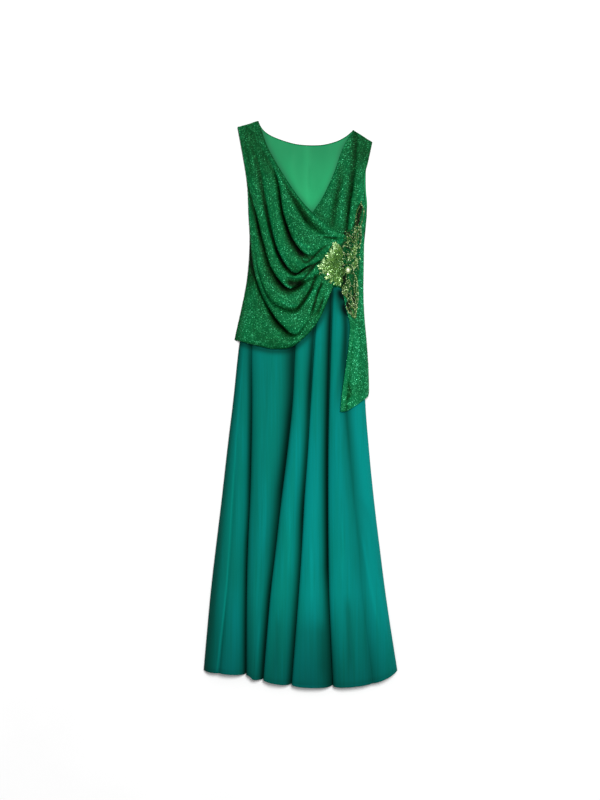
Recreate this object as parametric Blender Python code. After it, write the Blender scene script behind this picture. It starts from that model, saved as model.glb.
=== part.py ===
"""Floor-length evening dress laid flat on its back, with the front facing up.

The frame is metres with +Z up. +Y points from the hem to the shoulders, and +X to the right of someone who
looks down at the dress. The origin is the centre of the dress on the surface that it lies on. The tables are
in millimetres.

The back pieces lie on the surface. The front pieces lie on them as lofted cloth: each table row is one line
that runs along the cloth, and a row with a fold is the bottom of a valley between two rounded ridges.
"""

from collections import namedtuple

import bmesh
import bpy
import numpy as np
from mathutils import Vector
from mathutils.bvhtree import BVHTree
from mathutils.geometry import delaunay_2d_cdt

MM = 0.001

# Driving sizes
WALL = 1.5
LINING_WALL = 1.0
SEAM_GAP = 0.3
SLOPE_ROOM = 0.4
WAIST_Y = 375.0
SKIRT_TOP_Y = 372.0
TUNIC_HEM_Y = 168.0
WRAP_THICKNESS = 7.0
STONE_WIDTH, STONE_LENGTH, STONE_HEIGHT = 14.0, 18.0, 6.0
STONE_X, STONE_Y = 125.6, 354.6

# Colours as linear RGB, with roughness
GLITTER_GREEN = ((0.006, 0.150, 0.038), 0.45)
CHIFFON_TEAL = ((0.002, 0.170, 0.130), 0.70)
LINING_GREEN = ((0.030, 0.360, 0.130), 0.60)
BEAD_GOLD = ((0.220, 0.300, 0.060), 0.30)
STONE_PALE = ((0.600, 0.720, 0.400), 0.12)

# A row of a lofted cloth: how deep its valley is (0 to 1) at the line's start, middle and end, how far the
# slope reaches on the side of the row before it and of the row after it, and the line
Row = namedtuple("Row", "name depth before after line")
Cloth = namedtuple("Cloth", "rows crest corner_row")

# The same for a cloth whose lines run down the dress: one x for each station, then the line's end.
DownRow = namedtuple("DownRow", "name depth before after x end_x end_y")

NO_FOLD = (0.0, 0.0, 0.0)
FULL_EDGE = (1.0, 1.0, 1.0)

# The skirt front, from the left edge to the right one. The crest is the ridges' height, from waist to hem.
SKIRT_STATIONS = (SKIRT_TOP_Y, 277, 158, 12, -121, -253, -386, -518)
SKIRT_ROWS = (
    DownRow("left_edge", FULL_EDGE, 0, 13, (-130, -140, -162, -178, -194, -209, -225, -240), -257, -709),
    DownRow("crease", (0.0, 0.12, 0.16), 12, 3, (-125, -132, -150, -162, -172, -180, -188, -197), -215, -710),
    DownRow("valley_1", (0.5, 0.92, 0.95), 14, 8,
            (-109, -122, -132, -132, -134, -136, -140, -146), -147, -718),
    DownRow("ridge_1", NO_FOLD, 0, 0, (-40, -62, -73, -84, -92, -100, -107, -112), -124, -728),
    DownRow("valley_2", (0.5, 0.96, 0.97), 17, 6, (8, -3, -16, -25, -38, -54, -70, -86), -102, -732),
    DownRow("valley_3", (0.6, 0.95, 0.95), 15, 6, (50, 42, 32, 23, 16, 8, 0, -11), -28, -744),
    DownRow("valley_4", (0.7, 1.0, 0.95), 15, 7, (82, 80, 76, 72, 70, 69, 70, 72), 81, -748),
    DownRow("soft_valley", (0.2, 0.22, 0.28), 18, 20, (111, 114, 114, 119, 129, 140, 154, 164), 191, -737),
    DownRow("right_edge", FULL_EDGE, 11, 0, (162, 163, 170, 172, 182, 195, 211, 228), 257, -709),
)
SKIRT_CREST = (3.0, 9.0, 15.0, 21.0, 25.0, 28.0, 29.0, 29.0, 27.0)

# The overlay that is draped from the left shoulder to the gather at the right of the waist
DRAPE = Cloth(
    rows=(
        Row("neck_edge", (0.7, 0.6, 0.6), 0, 8,
            ((-111, 749), (-87, 682), (-50, 616), (-8, 553), (32, 507), (77, 470), (125, 444))),
        Row("soft_crease", (0.0, 0.3, 0.55), 9, 7,
            ((-122, 745), (-90, 674), (-50, 598), (-13, 531), (21, 478), (69, 447), (122, 436))),
        Row("valley_1", (0.0, 0.97, 0.75), 9, 11,
            ((-135, 741), (-95, 669), (-62, 600), (-44, 502), (-16, 419), (32, 390), (117, 417))),
        Row("valley_2", (0.0, 0.92, 0.8), 9, 11,
            ((-150, 737), (-111, 648), (-91, 550), (-77, 447), (-45, 375), (11, 351), (111, 396))),
        Row("shoulder_corner", NO_FOLD, 0, 0,
            ((-164, 733), (-132, 632), (-111, 537), (-93, 436), (-64, 356), (-5, 327), (106, 383))),
        Row("valley_3", (0.1, 0.97, 0.8), 10, 12,
            ((-143, 595), (-131, 555), (-115, 494), (-98, 417), (-69, 346), (-19, 299), (101, 367))),
        Row("right_crease", (0.0, 0.15, 0.85), 8, 8,
            ((-138, 502), (-132, 457), (-122, 399), (-106, 341), (-66, 274), (-3, 256), (98, 351))),
        Row("valley_4", (0.2, 0.9, 0.75), 10, 12,
            ((-135, 428), (-130, 378), (-114, 317), (-87, 261), (-42, 205), (24, 232), (95, 338))),
        Row("low_ridge", (0.0, 0.0, 0.6), 6, 6,
            ((-143, 322), (-135, 282), (-119, 242), (-90, 205), (-34, 176), (37, 224), (93, 327))),
        Row("hem", (0.7, 0.6, 0.7), 9, 0,
            ((-175, 171), (-143, 162), (-106, 152), (-66, 146), (-16, 155), (45, 216), (87, 309))),
    ),
    crest=(3.0, 7.0, 13.0, 16.0, 16.0, 12.0, 7.0),
    corner_row=4,
)

# The right front, which lies under the overlay where they cross
UNDER_WRAP = Cloth(
    rows=(
        Row("neck_edge", (0.6, 0.6, 0.6), 0, 8,
            ((140, 725), (114, 682), (87, 608), (58, 547), (32, 507), (11, 457), (-5, 378))),
        Row("soft_crease", (0.0, 0.45, 0.2), 12, 12,
            ((145, 721), (128, 664), (110, 590), (90, 530), (75, 485), (62, 440), (55, 378))),
        Row("pleat", (0.75, 0.97, 0.8), 10, 7,
            ((154, 715), (146, 652), (135, 574), (127, 510), (122, 462), (120, 420), (119, 378))),
        Row("side_crease", (0.0, 0.3, 0.3), 10, 10,
            ((173, 704), (163, 645), (152, 580), (149, 525), (148, 480), (147, 430), (145, 378))),
        Row("armhole", (0.6, 0.7, 0.6), 8, 0,
            ((191, 693), (178, 640), (164, 595), (166, 545), (174, 505), (170, 440), (166, 378))),
    ),
    crest=(3.0, 6.0, 8.0, 8.0, 6.0, 4.0, 2.5),
    corner_row=None,
)

# The cascade that falls from the gather along the right side
CASCADE_STATIONS = (442, 378, 309, 260, 215, 171, 105, 38)
CASCADE_ROWS = (
    DownRow("left_edge", (0.5, 0.6, 0.5), 0, 7, (131, 124, 113, 119, 130, 129, 121, 111), 105, -20),
    DownRow("inner_fold", (0.2, 0.2, 0.45), 6, 5, (138, 134, 129, 134, 140, 139, 134, 126), 122, -18),
    DownRow("outer_fold", (0.3, 0.35, 0.15), 12, 12, (154, 150, 148, 152, 155, 158, 160, 159), 152, 0),
    DownRow("right_edge", (0.7, 0.7, 0.7), 9, 0, (169, 168, 167, 168, 171, 175, 180, 182), 180, 20),
)
CASCADE_CREST = (2.0, 3.0, 4.0, 5.0, 6.0, 7.0, 7.0, 6.0, 5.0)

# Outlines of the flat back pieces, left side then right side, from the neck to the lower end
BackStation = namedtuple("BackStation", "y_left x_left y_right x_right")
BODICE_BACK = (
    BackStation(733, -163, 693, 189),
    BackStation(674, -150, 661, 181),
    BackStation(595, -142, 621, 174),
    BackStation(542, -139, 568, 174),
    BackStation(490, -136, 529, 177),
    BackStation(436, -134, 476, 174),
    BackStation(356, -137, 410, 168),
    BackStation(303, -145, 345, 165),
    BackStation(237, -158, 270, 166),
    BackStation(TUNIC_HEM_Y, -173, TUNIC_HEM_Y, 170),
)
BACK_NECK = (
    (-111, 748), (-101, 727), (-80, 709), (-40, 694), (0, 686), (53, 685), (93, 693), (119, 706), (140, 724),
)
LINING_INSET = 0.4
LINING_NECK_DROP = 0.8

# The beaded motif's outline, anticlockwise from its lower tip
MOTIF_OUTLINE = (
    (146, 226), (150, 262), (153, 290), (152, 327), (156, 356), (157, 409), (160, 441), (156, 473),
    (163, 507), (162, 538), (152, 522), (144, 500), (132, 480), (121, 459), (114, 434), (101, 422),
    (88, 428), (75, 410), (63, 394), (42, 362), (55, 336), (72, 321), (90, 309), (108, 303),
    (110, 284), (117, 263), (124, 245), (136, 230),
)
MOTIF_STEP = 7.0
MOTIF_WALL = 1.6
MOTIF_RELIEF = 3.0

# Its raised leaves, each from its stem to its tip
Leaf = namedtuple("Leaf", "name stem tip half_width")
MOTIF_LEAVES = (
    Leaf("fan_top", (116, 372), (88, 424), 9),
    Leaf("fan_upper", (116, 372), (66, 394), 9),
    Leaf("fan_tip", (116, 370), (46, 362), 9),
    Leaf("fan_lower", (116, 368), (60, 337), 9),
    Leaf("fan_bottom", (116, 364), (92, 315), 9),
    Leaf("spray_inner", (142, 400), (124, 454), 8),
    Leaf("spray_outer", (148, 430), (150, 486), 7),
    Leaf("spray_tip", (152, 480), (160, 534), 7),
    Leaf("side", (132, 376), (150, 424), 8),
    Leaf("low_side", (146, 340), (149, 250), 6),
    Leaf("low_inner", (128, 330), (118, 288), 8),
    Leaf("low_middle", (122, 292), (132, 250), 8),
    Leaf("low_tip", (132, 262), (144, 232), 7),
)


def clear_scene():
    for obj in list(bpy.data.objects):
        bpy.data.objects.remove(obj)


def material(name, finish, metallic=0.0):
    colour, roughness = finish
    made = bpy.data.materials.new(name)
    made.use_nodes = True
    shader = made.node_tree.nodes["Principled BSDF"]
    shader.inputs["Base Color"].default_value = (*colour, 1.0)
    shader.inputs["Roughness"].default_value = roughness
    shader.inputs["Metallic"].default_value = metallic
    made.diffuse_color = (*colour, 1.0)
    return made


def placed(name, mesh, finish):
    mesh.materials.append(finish)
    obj = bpy.data.objects.new(name, mesh)
    bpy.context.scene.collection.objects.link(obj)
    return obj


def mesh_from(name, work):
    """A mesh from a bmesh, which is freed."""
    mesh = bpy.data.meshes.new(name)
    work.to_mesh(mesh)
    work.free()
    return mesh


def spline(points, at):
    """A smooth curve through the points, read at parameters that count the points from 0."""
    p = np.asarray(points, float)
    p = np.concatenate([[2 * p[0] - p[1]], p, [2 * p[-1] - p[-2]]])
    at = np.asarray(at, float)
    first = np.clip(at.astype(int), 0, len(p) - 4)
    f = (at - first).reshape((-1,) + (1,) * (p.ndim - 1))
    a, b, c, d = (p[first + k] for k in range(4))
    bend = 2 * a - 5 * b + 4 * c - d
    twist = 3 * b - a - 3 * c + d
    return 0.5 * (2 * b + (c - a) * f + bend * f**2 + twist * f**3)


def across(lines, at, corner_row):
    """Lines between the rows. The curve is broken at the corner row, where the cloth's edge turns sharply."""
    if corner_row is None:
        return spline(lines, at)
    upper = at <= corner_row
    first = spline(lines[: corner_row + 1], at[upper])
    second = spline(lines[corner_row:], at[~upper] - corner_row)
    return np.concatenate([first, second])


def loft(cloth, share, at):
    """Plan and fold height of a lofted cloth, at shares along its lines and at row numbers across them."""
    fine_steps = 20
    last = len(cloth.rows) - 1
    lines = np.array([spline(row.line, share * (len(row.line) - 1)) for row in cloth.rows])
    fine = np.linspace(0, last, fine_steps * last + 1)
    steps = np.linalg.norm(np.diff(across(lines, fine, cloth.corner_row), axis=0), axis=2)
    run = np.concatenate([np.zeros((1, len(share))), np.cumsum(steps, axis=0)])
    plan = across(lines, at, cloth.corner_row)
    run_at = np.array([np.interp(at, fine, run[:, k]) for k in range(len(share))]).T
    height = np.ones(plan.shape[:2]) * spline(cloth.crest, share * (len(cloth.crest) - 1))
    for number, row in enumerate(cloth.rows):
        depth = np.interp(share, (0.0, 0.5, 1.0), row.depth)
        away = run_at - run[number * fine_steps]
        reach = np.where(away < 0, max(row.before, 0.01), max(row.after, 0.01))
        height *= 1 - depth * np.exp(-np.abs(away) / reach)
    return plan, height


def down_cloth(down_rows, stations, crest):
    """A lofted cloth from rows that run down the dress."""
    rows = []
    for row in down_rows:
        line = tuple(zip(row.x, stations)) + ((row.end_x, row.end_y),)
        rows.append(Row(row.name, row.depth, row.before, row.after, line))
    return Cloth(rows=tuple(rows), crest=crest, corner_row=None)


def levels(cloth, shares):
    """Row numbers across a cloth: each row, and the given shares of each space between two rows."""
    last = len(cloth.rows) - 1
    return np.array([k + share for k in range(last) for share in shares] + [float(last)])


def skirt_x(row, y):
    """The x of one of the skirt's lines at any y."""
    keys = (row.end_y,) + SKIRT_STATIONS[::-1]
    return np.interp(y, keys, (row.end_x,) + row.x[::-1])


def skirt_floor(y):
    """Top of the skirt back, which lies on the tunic's back as far as its hem and on the surface below it."""
    rise = np.clip((y - (TUNIC_HEM_Y - 20)) / 16, 0, 1)
    return WALL + (WALL + SEAM_GAP) * rise * rise * (3 - 2 * rise)


def skirt_envelope(x, y):
    """Top of the skirt front as if its valleys were filled, which the pieces above it lie on."""
    keys = (SKIRT_ROWS[0].end_y,) + SKIRT_STATIONS[::-1]
    inside = np.minimum(x - skirt_x(SKIRT_ROWS[0], y), skirt_x(SKIRT_ROWS[-1], y) - x)
    crest = np.interp(y, keys, SKIRT_CREST[::-1]) * (1 - np.exp(-np.clip(inside + 9, 0, None) / 12))
    return skirt_floor(y) + SEAM_GAP + WALL + SLOPE_ROOM + np.where(y > WAIST_Y + 30, 0, crest)


def cloth_wall(name, plan, top, wall, finish):
    """A sheet of quads through a grid of points in millimetres, thickened downwards."""
    rows, columns = top.shape
    work = bmesh.new()
    points = np.concatenate([plan, top[..., None]], axis=2) * MM
    grid = [[work.verts.new(tuple(point)) for point in line] for line in points]
    for i in range(rows - 1):
        for j in range(columns - 1):
            work.faces.new((grid[i][j], grid[i][j + 1], grid[i + 1][j + 1], grid[i + 1][j]))
    work.normal_update()
    if sum(face.normal.z for face in work.faces) < 0:
        bmesh.ops.reverse_faces(work, faces=work.faces)
    mesh = mesh_from(name, work)
    mesh.shade_smooth()
    obj = placed(name, mesh, finish)
    thick = obj.modifiers.new("wall", "SOLIDIFY")
    thick.thickness = wall * MM
    thick.offset = -1.0
    return obj


def make_skirt_front(finish):
    cloth = down_cloth(SKIRT_ROWS, SKIRT_STATIONS, SKIRT_CREST)
    at = levels(cloth, (0.0, 0.10, 0.30, 0.55, 0.80, 0.93))
    plan, fold = loft(cloth, np.linspace(0, 1, 23), at)
    top = skirt_floor(plan[..., 1]) + SEAM_GAP + WALL + SLOPE_ROOM + fold
    return cloth_wall("skirt_front", plan, top, WALL, finish)


def make_drape(finish):
    """The overlay lies on the lining, then on the right front, and below the waist on the skirt."""
    at = levels(DRAPE, (0.0, 0.18, 0.5, 0.82))
    plan, fold = loft(DRAPE, np.linspace(0, 1, 26), at)
    x, y = plan[..., 0], plan[..., 1]
    seam = LINING_WALL + 2 * WALL + 2 * SEAM_GAP
    over_wrap = np.clip((x + 45) / 50, 0, 1) * np.clip((545 - y) / 40, 0, 1)
    bodice = seam + 0.2 + WRAP_THICKNESS * over_wrap
    below_waist = np.clip((WAIST_Y + 35 - y) / 40, 0, 1)
    on_skirt = np.maximum(skirt_envelope(x, y) + SEAM_GAP + WALL, bodice)
    bed = bodice * (1 - below_waist) + on_skirt * below_waist
    side_low = np.where(y > WAIST_Y, seam, seam - LINING_WALL)
    side_seam = 1 - np.exp(-np.clip(x - plan[:, :1, 0], 0, None) / 6)
    rise = np.where(at[:, None] < DRAPE.corner_row, 1.0, side_seam)
    return cloth_wall("bodice_front_drape", plan, side_low + (bed + fold - side_low) * rise, WALL, finish)


def make_under_wrap(finish):
    at = levels(UNDER_WRAP, (0.0, 0.15, 0.4, 0.7, 0.9))
    plan, fold = loft(UNDER_WRAP, np.linspace(0, 1, 17), at)
    top = LINING_WALL + 2 * WALL + 2 * SEAM_GAP + fold
    return cloth_wall("bodice_front_under", plan, top, WALL, finish)


def make_cascade(finish):
    cloth = down_cloth(CASCADE_ROWS, CASCADE_STATIONS, CASCADE_CREST)
    plan, fold = loft(cloth, np.linspace(0, 1, 22), levels(cloth, (0.0, 0.2, 0.5, 0.8)))
    x, y = plan[..., 0], plan[..., 1]
    on_wrap = LINING_WALL + 3 * WALL + 4 * SEAM_GAP + 5.0
    above_waist = np.clip((y - WAIST_Y + 30) / 30, 0, 1)
    bed = (skirt_envelope(x, y) + SEAM_GAP + WALL) * (1 - above_waist) + on_wrap * above_waist
    return cloth_wall("side_cascade", plan, bed + fold, WALL, finish)


def back_sides(inset, lower_y):
    """Left and right edge points of the back, from the shoulders down to the given y."""
    at = np.linspace(0, len(BODICE_BACK) - 1, 28)
    sides = []
    for points, shift in (
        ([(s.x_left, s.y_left) for s in BODICE_BACK], inset),
        ([(s.x_right, s.y_right) for s in BODICE_BACK], -inset),
    ):
        side = spline(points, at) + (shift, 0)
        corner = (np.interp(lower_y, side[::-1, 1], side[::-1, 0]), lower_y)
        sides.append(np.vstack([side[side[:, 1] > lower_y + 1], corner]))
    return sides


def back_outline(inset, neck_drop, lower_y):
    """Outline of a back piece: up the left side, along the neck and down the right side."""
    left, right = back_sides(inset, lower_y)
    neck = spline(BACK_NECK, np.linspace(0, len(BACK_NECK) - 1, 25)) - (0, neck_drop)
    if inset:
        neck = neck[1:-1]
    return np.vstack([left[::-1], neck, right])


def flat_piece(name, outline, low, wall, finish):
    """A flat piece of cloth, extruded upwards from its closed outline."""
    work = bmesh.new()
    face = work.faces.new([work.verts.new((x * MM, y * MM, low * MM)) for x, y in outline])
    raised = bmesh.ops.extrude_face_region(work, geom=[face], use_keep_orig=True)
    moved = [item for item in raised["geom"] if isinstance(item, bmesh.types.BMVert)]
    bmesh.ops.translate(work, verts=moved, vec=(0, 0, wall * MM))
    bmesh.ops.recalc_face_normals(work, faces=work.faces)
    return placed(name, mesh_from(name, work), finish)


def make_bodice_back(finish):
    return flat_piece("bodice_back", back_outline(0.0, 0.0, TUNIC_HEM_Y), 0.0, WALL, finish)


def make_back_lining(finish):
    outline = back_outline(LINING_INSET, LINING_NECK_DROP, WAIST_Y)
    return flat_piece("back_lining", outline, WALL + SEAM_GAP, LINING_WALL, finish)


def make_skirt_back(finish):
    """The skirt back steps down from the tunic's back to the surface, just below the tunic's hem."""
    above = np.linspace(SKIRT_TOP_Y, TUNIC_HEM_Y + 2, 8)
    step = np.linspace(TUNIC_HEM_Y - 4, TUNIC_HEM_Y - 20, 5)
    below = np.linspace(TUNIC_HEM_Y - 48, SKIRT_ROWS[0].end_y + 19, 20)
    y = np.concatenate([above, step, below])[:, None]
    share = np.linspace(0, 1, 9)
    x_left = skirt_x(SKIRT_ROWS[0], y) + WALL
    x_right = skirt_x(SKIRT_ROWS[-1], y) - WALL
    hem_bow = 34 * np.clip((-600 - y) / 90, 0, 1) ** 2 * (1 - (2 * share - 1) ** 2)
    plan = np.stack([x_left + (x_right - x_left) * share, y - hem_bow], axis=2)
    top = skirt_floor(np.broadcast_to(y, plan.shape[:2]))
    return cloth_wall("skirt_back", plan, top, WALL, finish)


def top_of(objects):
    """A function that gives the objects' highest point near a place, where a piece will bridge creases."""
    bpy.context.view_layer.update()
    graph = bpy.context.evaluated_depsgraph_get()
    trees = [BVHTree.FromObject(obj, graph) for obj in objects]
    corners = np.array([v.co for obj in objects for v in obj.evaluated_get(graph).data.vertices]) / MM
    turns = np.linspace(0, 2 * np.pi, 12, endpoint=False)

    def highest_near(x, y, reach):
        apart = np.hypot(corners[:, 0] - x, corners[:, 1] - y)
        found = list(corners[apart < reach, 2])
        for radius in (0.0, 0.5 * reach, reach):
            for turn in turns:
                above = Vector((x + radius * np.cos(turn), y + radius * np.sin(turn), 1000.0)) * MM
                hits = [tree.ray_cast(above, Vector((0, 0, -1)))[0] for tree in trees]
                found += [hit.z / MM for hit in hits if hit is not None]
        return max(found)

    return highest_near


def leaf_relief(x, y):
    """How far a place of the motif is raised, from 0 beside the leaves to 1 along their middles."""
    place = np.array((x, y))
    most = 0.0
    for leaf in MOTIF_LEAVES:
        stem = np.array(leaf.stem, float)
        run = np.array(leaf.tip, float) - stem
        share = np.clip(np.dot(place - stem, run) / np.dot(run, run), 0, 1)
        away = np.linalg.norm(place - stem - share * run)
        most = max(most, 1 - (away / leaf.half_width) ** 2)
    return most


def well_inside(point, edge, margin):
    """Whether a point is inside a closed outline and at least the margin from its points."""
    x, y = point
    ax, ay = edge.T
    bx, by = np.roll(edge, -1, axis=0).T
    rise = np.where(by == ay, 1e-9, by - ay)
    crossed = ((ay > y) != (by > y)) & (x < (bx - ax) * (y - ay) / rise + ax)
    return crossed.sum() % 2 == 1 and np.hypot(ax - x, ay - y).min() > margin


def motif_plan():
    """The motif's points in plan, how many of them are on its rim, and the faces between them."""
    closed = MOTIF_OUTLINE[-1:] + MOTIF_OUTLINE + MOTIF_OUTLINE[:2]
    curve = spline(closed, np.linspace(1, len(MOTIF_OUTLINE) + 1, 400))
    run = np.concatenate([[0], np.cumsum(np.linalg.norm(np.diff(curve, axis=0), axis=1))])
    marks = np.arange(0, run[-1] - MOTIF_STEP / 2, MOTIF_STEP)
    edge = np.stack([np.interp(marks, run, curve[:, 0]), np.interp(marks, run, curve[:, 1])], axis=1)
    low, high = edge.min(axis=0), edge.max(axis=0)
    inner = []
    for line, y in enumerate(np.arange(low[1], high[1], MOTIF_STEP * 0.87)):
        shift = MOTIF_STEP / 2 * (line % 2)
        inner += [(x, y) for x in np.arange(low[0] + shift, high[0], MOTIF_STEP)]
    inner = [point for point in inner if well_inside(point, edge, 0.45 * MOTIF_STEP)]
    places = [Vector(point) for point in (*edge, *inner)]
    rim = [(k, (k + 1) % len(edge)) for k in range(len(edge))]
    keep_inside = 1
    plan, _, faces, *_ = delaunay_2d_cdt(places, rim, [], keep_inside, 1e-6)
    return plan, len(edge), faces


def make_motif(finish, highest_near):
    """The motif's mat bridges the creases below it, with its leaves raised in the outer points."""
    plan, rim_count, faces = motif_plan()
    work = bmesh.new()
    under, over = [], []
    for number, place in enumerate(plan):
        low = highest_near(place.x, place.y, 1.2 * MOTIF_STEP) + SEAM_GAP
        raised = 0.0 if number < rim_count else MOTIF_RELIEF * leaf_relief(place.x, place.y)
        under.append(work.verts.new((place.x * MM, place.y * MM, low * MM)))
        over.append(work.verts.new((place.x * MM, place.y * MM, (low + MOTIF_WALL + raised) * MM)))
    used = set()
    for face in faces:
        work.faces.new([over[k] for k in face])
        work.faces.new([under[k] for k in reversed(face)])
        used.update(zip(face, face[1:] + face[:1]))
    for a, b in used:
        if (b, a) not in used:
            work.faces.new((under[a], under[b], over[b], over[a]))
    bmesh.ops.recalc_face_normals(work, faces=work.faces)
    return placed("motif_mat", mesh_from("motif_mat", work), finish)


def make_stone(finish, highest_near):
    """The oval stone: a dome with a flat foot, on the motif's mat."""
    foot = highest_near(STONE_X, STONE_Y, STONE_LENGTH / 2) + SEAM_GAP
    work = bmesh.new()
    bmesh.ops.create_uvsphere(work, u_segments=20, v_segments=12, radius=1.0)
    lower = [vertex for vertex in work.verts if vertex.co.z < -1e-6]
    bmesh.ops.delete(work, geom=lower, context="VERTS")
    bmesh.ops.contextual_create(work, geom=[edge for edge in work.edges if edge.is_boundary])
    for vertex in work.verts:
        vertex.co.x = (STONE_X + vertex.co.x * STONE_WIDTH / 2) * MM
        vertex.co.y = (STONE_Y + vertex.co.y * STONE_LENGTH / 2) * MM
        vertex.co.z = (foot + vertex.co.z * STONE_HEIGHT) * MM
    bmesh.ops.recalc_face_normals(work, faces=work.faces)
    mesh = mesh_from("motif_stone", work)
    mesh.shade_smooth()
    return placed("motif_stone", mesh, finish)


def main():
    clear_scene()
    glitter = material("glitter_jersey", GLITTER_GREEN)
    chiffon = material("chiffon", CHIFFON_TEAL)
    lining = material("lining", LINING_GREEN)
    beads = material("beads", BEAD_GOLD, metallic=0.6)
    pale = material("stone", STONE_PALE)
    make_bodice_back(glitter)
    make_back_lining(lining)
    make_skirt_back(chiffon)
    skirt = make_skirt_front(chiffon)
    under = make_under_wrap(glitter)
    drape = make_drape(glitter)
    cascade = make_cascade(glitter)
    motif = make_motif(beads, top_of([skirt, under, drape, cascade]))
    make_stone(pale, top_of([motif]))


main()
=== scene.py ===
import math
import random

import bmesh
import bpy
import mathutils.geometry
import numpy as np
from mathutils import Euler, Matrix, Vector


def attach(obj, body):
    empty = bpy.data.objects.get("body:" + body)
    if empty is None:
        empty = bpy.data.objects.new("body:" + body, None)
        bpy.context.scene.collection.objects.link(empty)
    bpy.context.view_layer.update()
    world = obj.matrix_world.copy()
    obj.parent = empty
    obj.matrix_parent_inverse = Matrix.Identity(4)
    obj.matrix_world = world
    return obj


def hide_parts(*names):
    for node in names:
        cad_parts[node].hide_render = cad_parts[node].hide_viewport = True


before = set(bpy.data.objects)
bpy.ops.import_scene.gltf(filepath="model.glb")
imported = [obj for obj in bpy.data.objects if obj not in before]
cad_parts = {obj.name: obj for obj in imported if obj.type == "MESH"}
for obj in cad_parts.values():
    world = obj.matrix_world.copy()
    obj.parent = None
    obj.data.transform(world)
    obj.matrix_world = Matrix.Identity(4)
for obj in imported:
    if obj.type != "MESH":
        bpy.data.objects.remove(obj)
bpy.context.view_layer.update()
mm = 0.001
print("frame loaded")

# camera straight above the laid dress, with the shoulders at the top of the picture
camera = {
    "lens": 85.0, "sensor": 36.0, "mmPerPixel": 2.65, "pictureHeight": 800,
    "centreX": -1.3, "centreY": 10.6, "focusHeight": 14.0, "clipEnd": 50,
}


def inScene(name, data):
    made = bpy.data.objects.new(name, data)
    bpy.context.scene.collection.objects.link(made)
    return made


def makeCamera():
    data = bpy.data.cameras.new("camera")
    data.lens = camera["lens"]
    data.sensor_width = camera["sensor"]
    data.clip_end = camera["clipEnd"]
    cam = inScene("camera", data)
    viewHeight = camera["pictureHeight"] * camera["mmPerPixel"]
    distance = viewHeight * camera["lens"] / camera["sensor"] + camera["focusHeight"]
    cam.location = (camera["centreX"] * mm, camera["centreY"] * mm, distance * mm)
    bpy.context.scene.camera = cam


# any node in a tree: its type, its settings, and its inputs as values or as the outputs of other nodes
def addNode(tree, kind, settings, inputs):
    made = tree.nodes.new(kind)
    for key, value in settings.items():
        setattr(made, key, value)
    for key, value in inputs.items():
        if isinstance(value, bpy.types.NodeSocket):
            tree.links.new(value, made.inputs[key])
        else:
            made.inputs[key].default_value = value
    return made


# shader maths as Python: a Wire wraps a socket, and a Finish makes the nodes
class Wire:
    def __init__(self, finish, socket):
        self.finish = finish
        self.socket = socket

    def maths(self, operation, a, b=0.5):
        return self.finish.node("ShaderNodeMath", {"operation": operation}, {0: a, 1: b})

    def __add__(self, other):
        return self.maths("ADD", self, other)

    def __radd__(self, other):
        return self.maths("ADD", other, self)

    def __sub__(self, other):
        return self.maths("SUBTRACT", self, other)

    def __rsub__(self, other):
        return self.maths("SUBTRACT", other, self)

    def __mul__(self, other):
        return self.maths("MULTIPLY", self, other)

    def __rmul__(self, other):
        return self.maths("MULTIPLY", other, self)

    def __truediv__(self, other):
        return self.maths("DIVIDE", self, other)

    def __pow__(self, other):
        return self.maths("POWER", self, other)

    def __abs__(self):
        return self.maths("ABSOLUTE", self)


class Finish:
    def __init__(self, name, **constants):
        self.material = bpy.data.materials.new(name)
        self.material.use_nodes = True
        self.tree = self.material.node_tree
        self.shader = self.tree.nodes["Principled BSDF"]
        self.place = self.node("ShaderNodeTexCoord", {}, {}, "Object")
        for socket, value in constants.items():
            self.shader.inputs[socket.replace("_", " ")].default_value = value

    def node(self, kind, settings, inputs, output=0):
        sockets = {key: value.socket if isinstance(value, Wire) else value for key, value in inputs.items()}
        return Wire(self, addNode(self.tree, kind, settings, sockets).outputs[output])

    def feed(self, socket, wire):
        self.tree.links.new(wire.socket, self.shader.inputs[socket])

    def attribute(self, name):
        return self.node("ShaderNodeAttribute", {"attribute_name": name}, {}, "Fac")

    def axis(self, name):
        return self.node("ShaderNodeSeparateXYZ", {}, {0: self.place}, name)

    def noise(self, scale, detail=2.0, stretch=(1, 1, 1)):
        where = self.node("ShaderNodeMapping", {}, {0: self.place, 3: stretch})
        return self.node("ShaderNodeTexNoise", {}, {"Vector": where, "Scale": scale, "Detail": detail})

    def cells(self, scale, output="Distance", stretch=(1, 1, 1)):
        where = self.node("ShaderNodeMapping", {}, {0: self.place, 3: stretch})
        return self.node("ShaderNodeTexVoronoi", {}, {"Vector": where, "Scale": scale}, output)

    def ramp(self, value, low, high):
        return self.node("ShaderNodeMapRange", {"clamp": True}, {0: value, 1: low, 2: high, 3: 0.0, 4: 1.0})

    def channel(self, colour, name):
        return self.node("ShaderNodeSeparateColor", {}, {0: colour}, name)

    def mix(self, share, a, b, blend="MIX"):
        a, b = (value if isinstance(value, Wire) else (*value, 1.0) for value in (a, b))
        return self.node("ShaderNodeMix", {"data_type": "RGBA", "blend_type": blend}, {0: share, 6: a, 7: b}, 2)

    # a colour made darker or lighter by a factor for each of its channels
    def times(self, colour, red, green, blue):
        factors = self.node("ShaderNodeCombineColor", {}, {0: red, 1: green, 2: blue})
        return self.mix(1.0, colour, factors, "MULTIPLY")

    # a colour in the shade of the folds, where its red and blue go before its green
    def shaded(self, colour, power):
        shade = self.attribute("shade")
        return self.times(colour, shade ** (1.4 * power), shade ** power, shade ** (1.35 * power))

    def bump(self, height, distance, strength):
        inputs = {"Height": height, "Distance": distance, "Strength": strength}
        self.feed("Normal", self.node("ShaderNodeBump", {}, inputs))


def fromSrgb(red, green, blue):
    return tuple(((v / 255 + 0.055) / 1.055) ** 2.4 if v > 10 else v / 255 / 12.92 for v in (red, green, blue))


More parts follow.
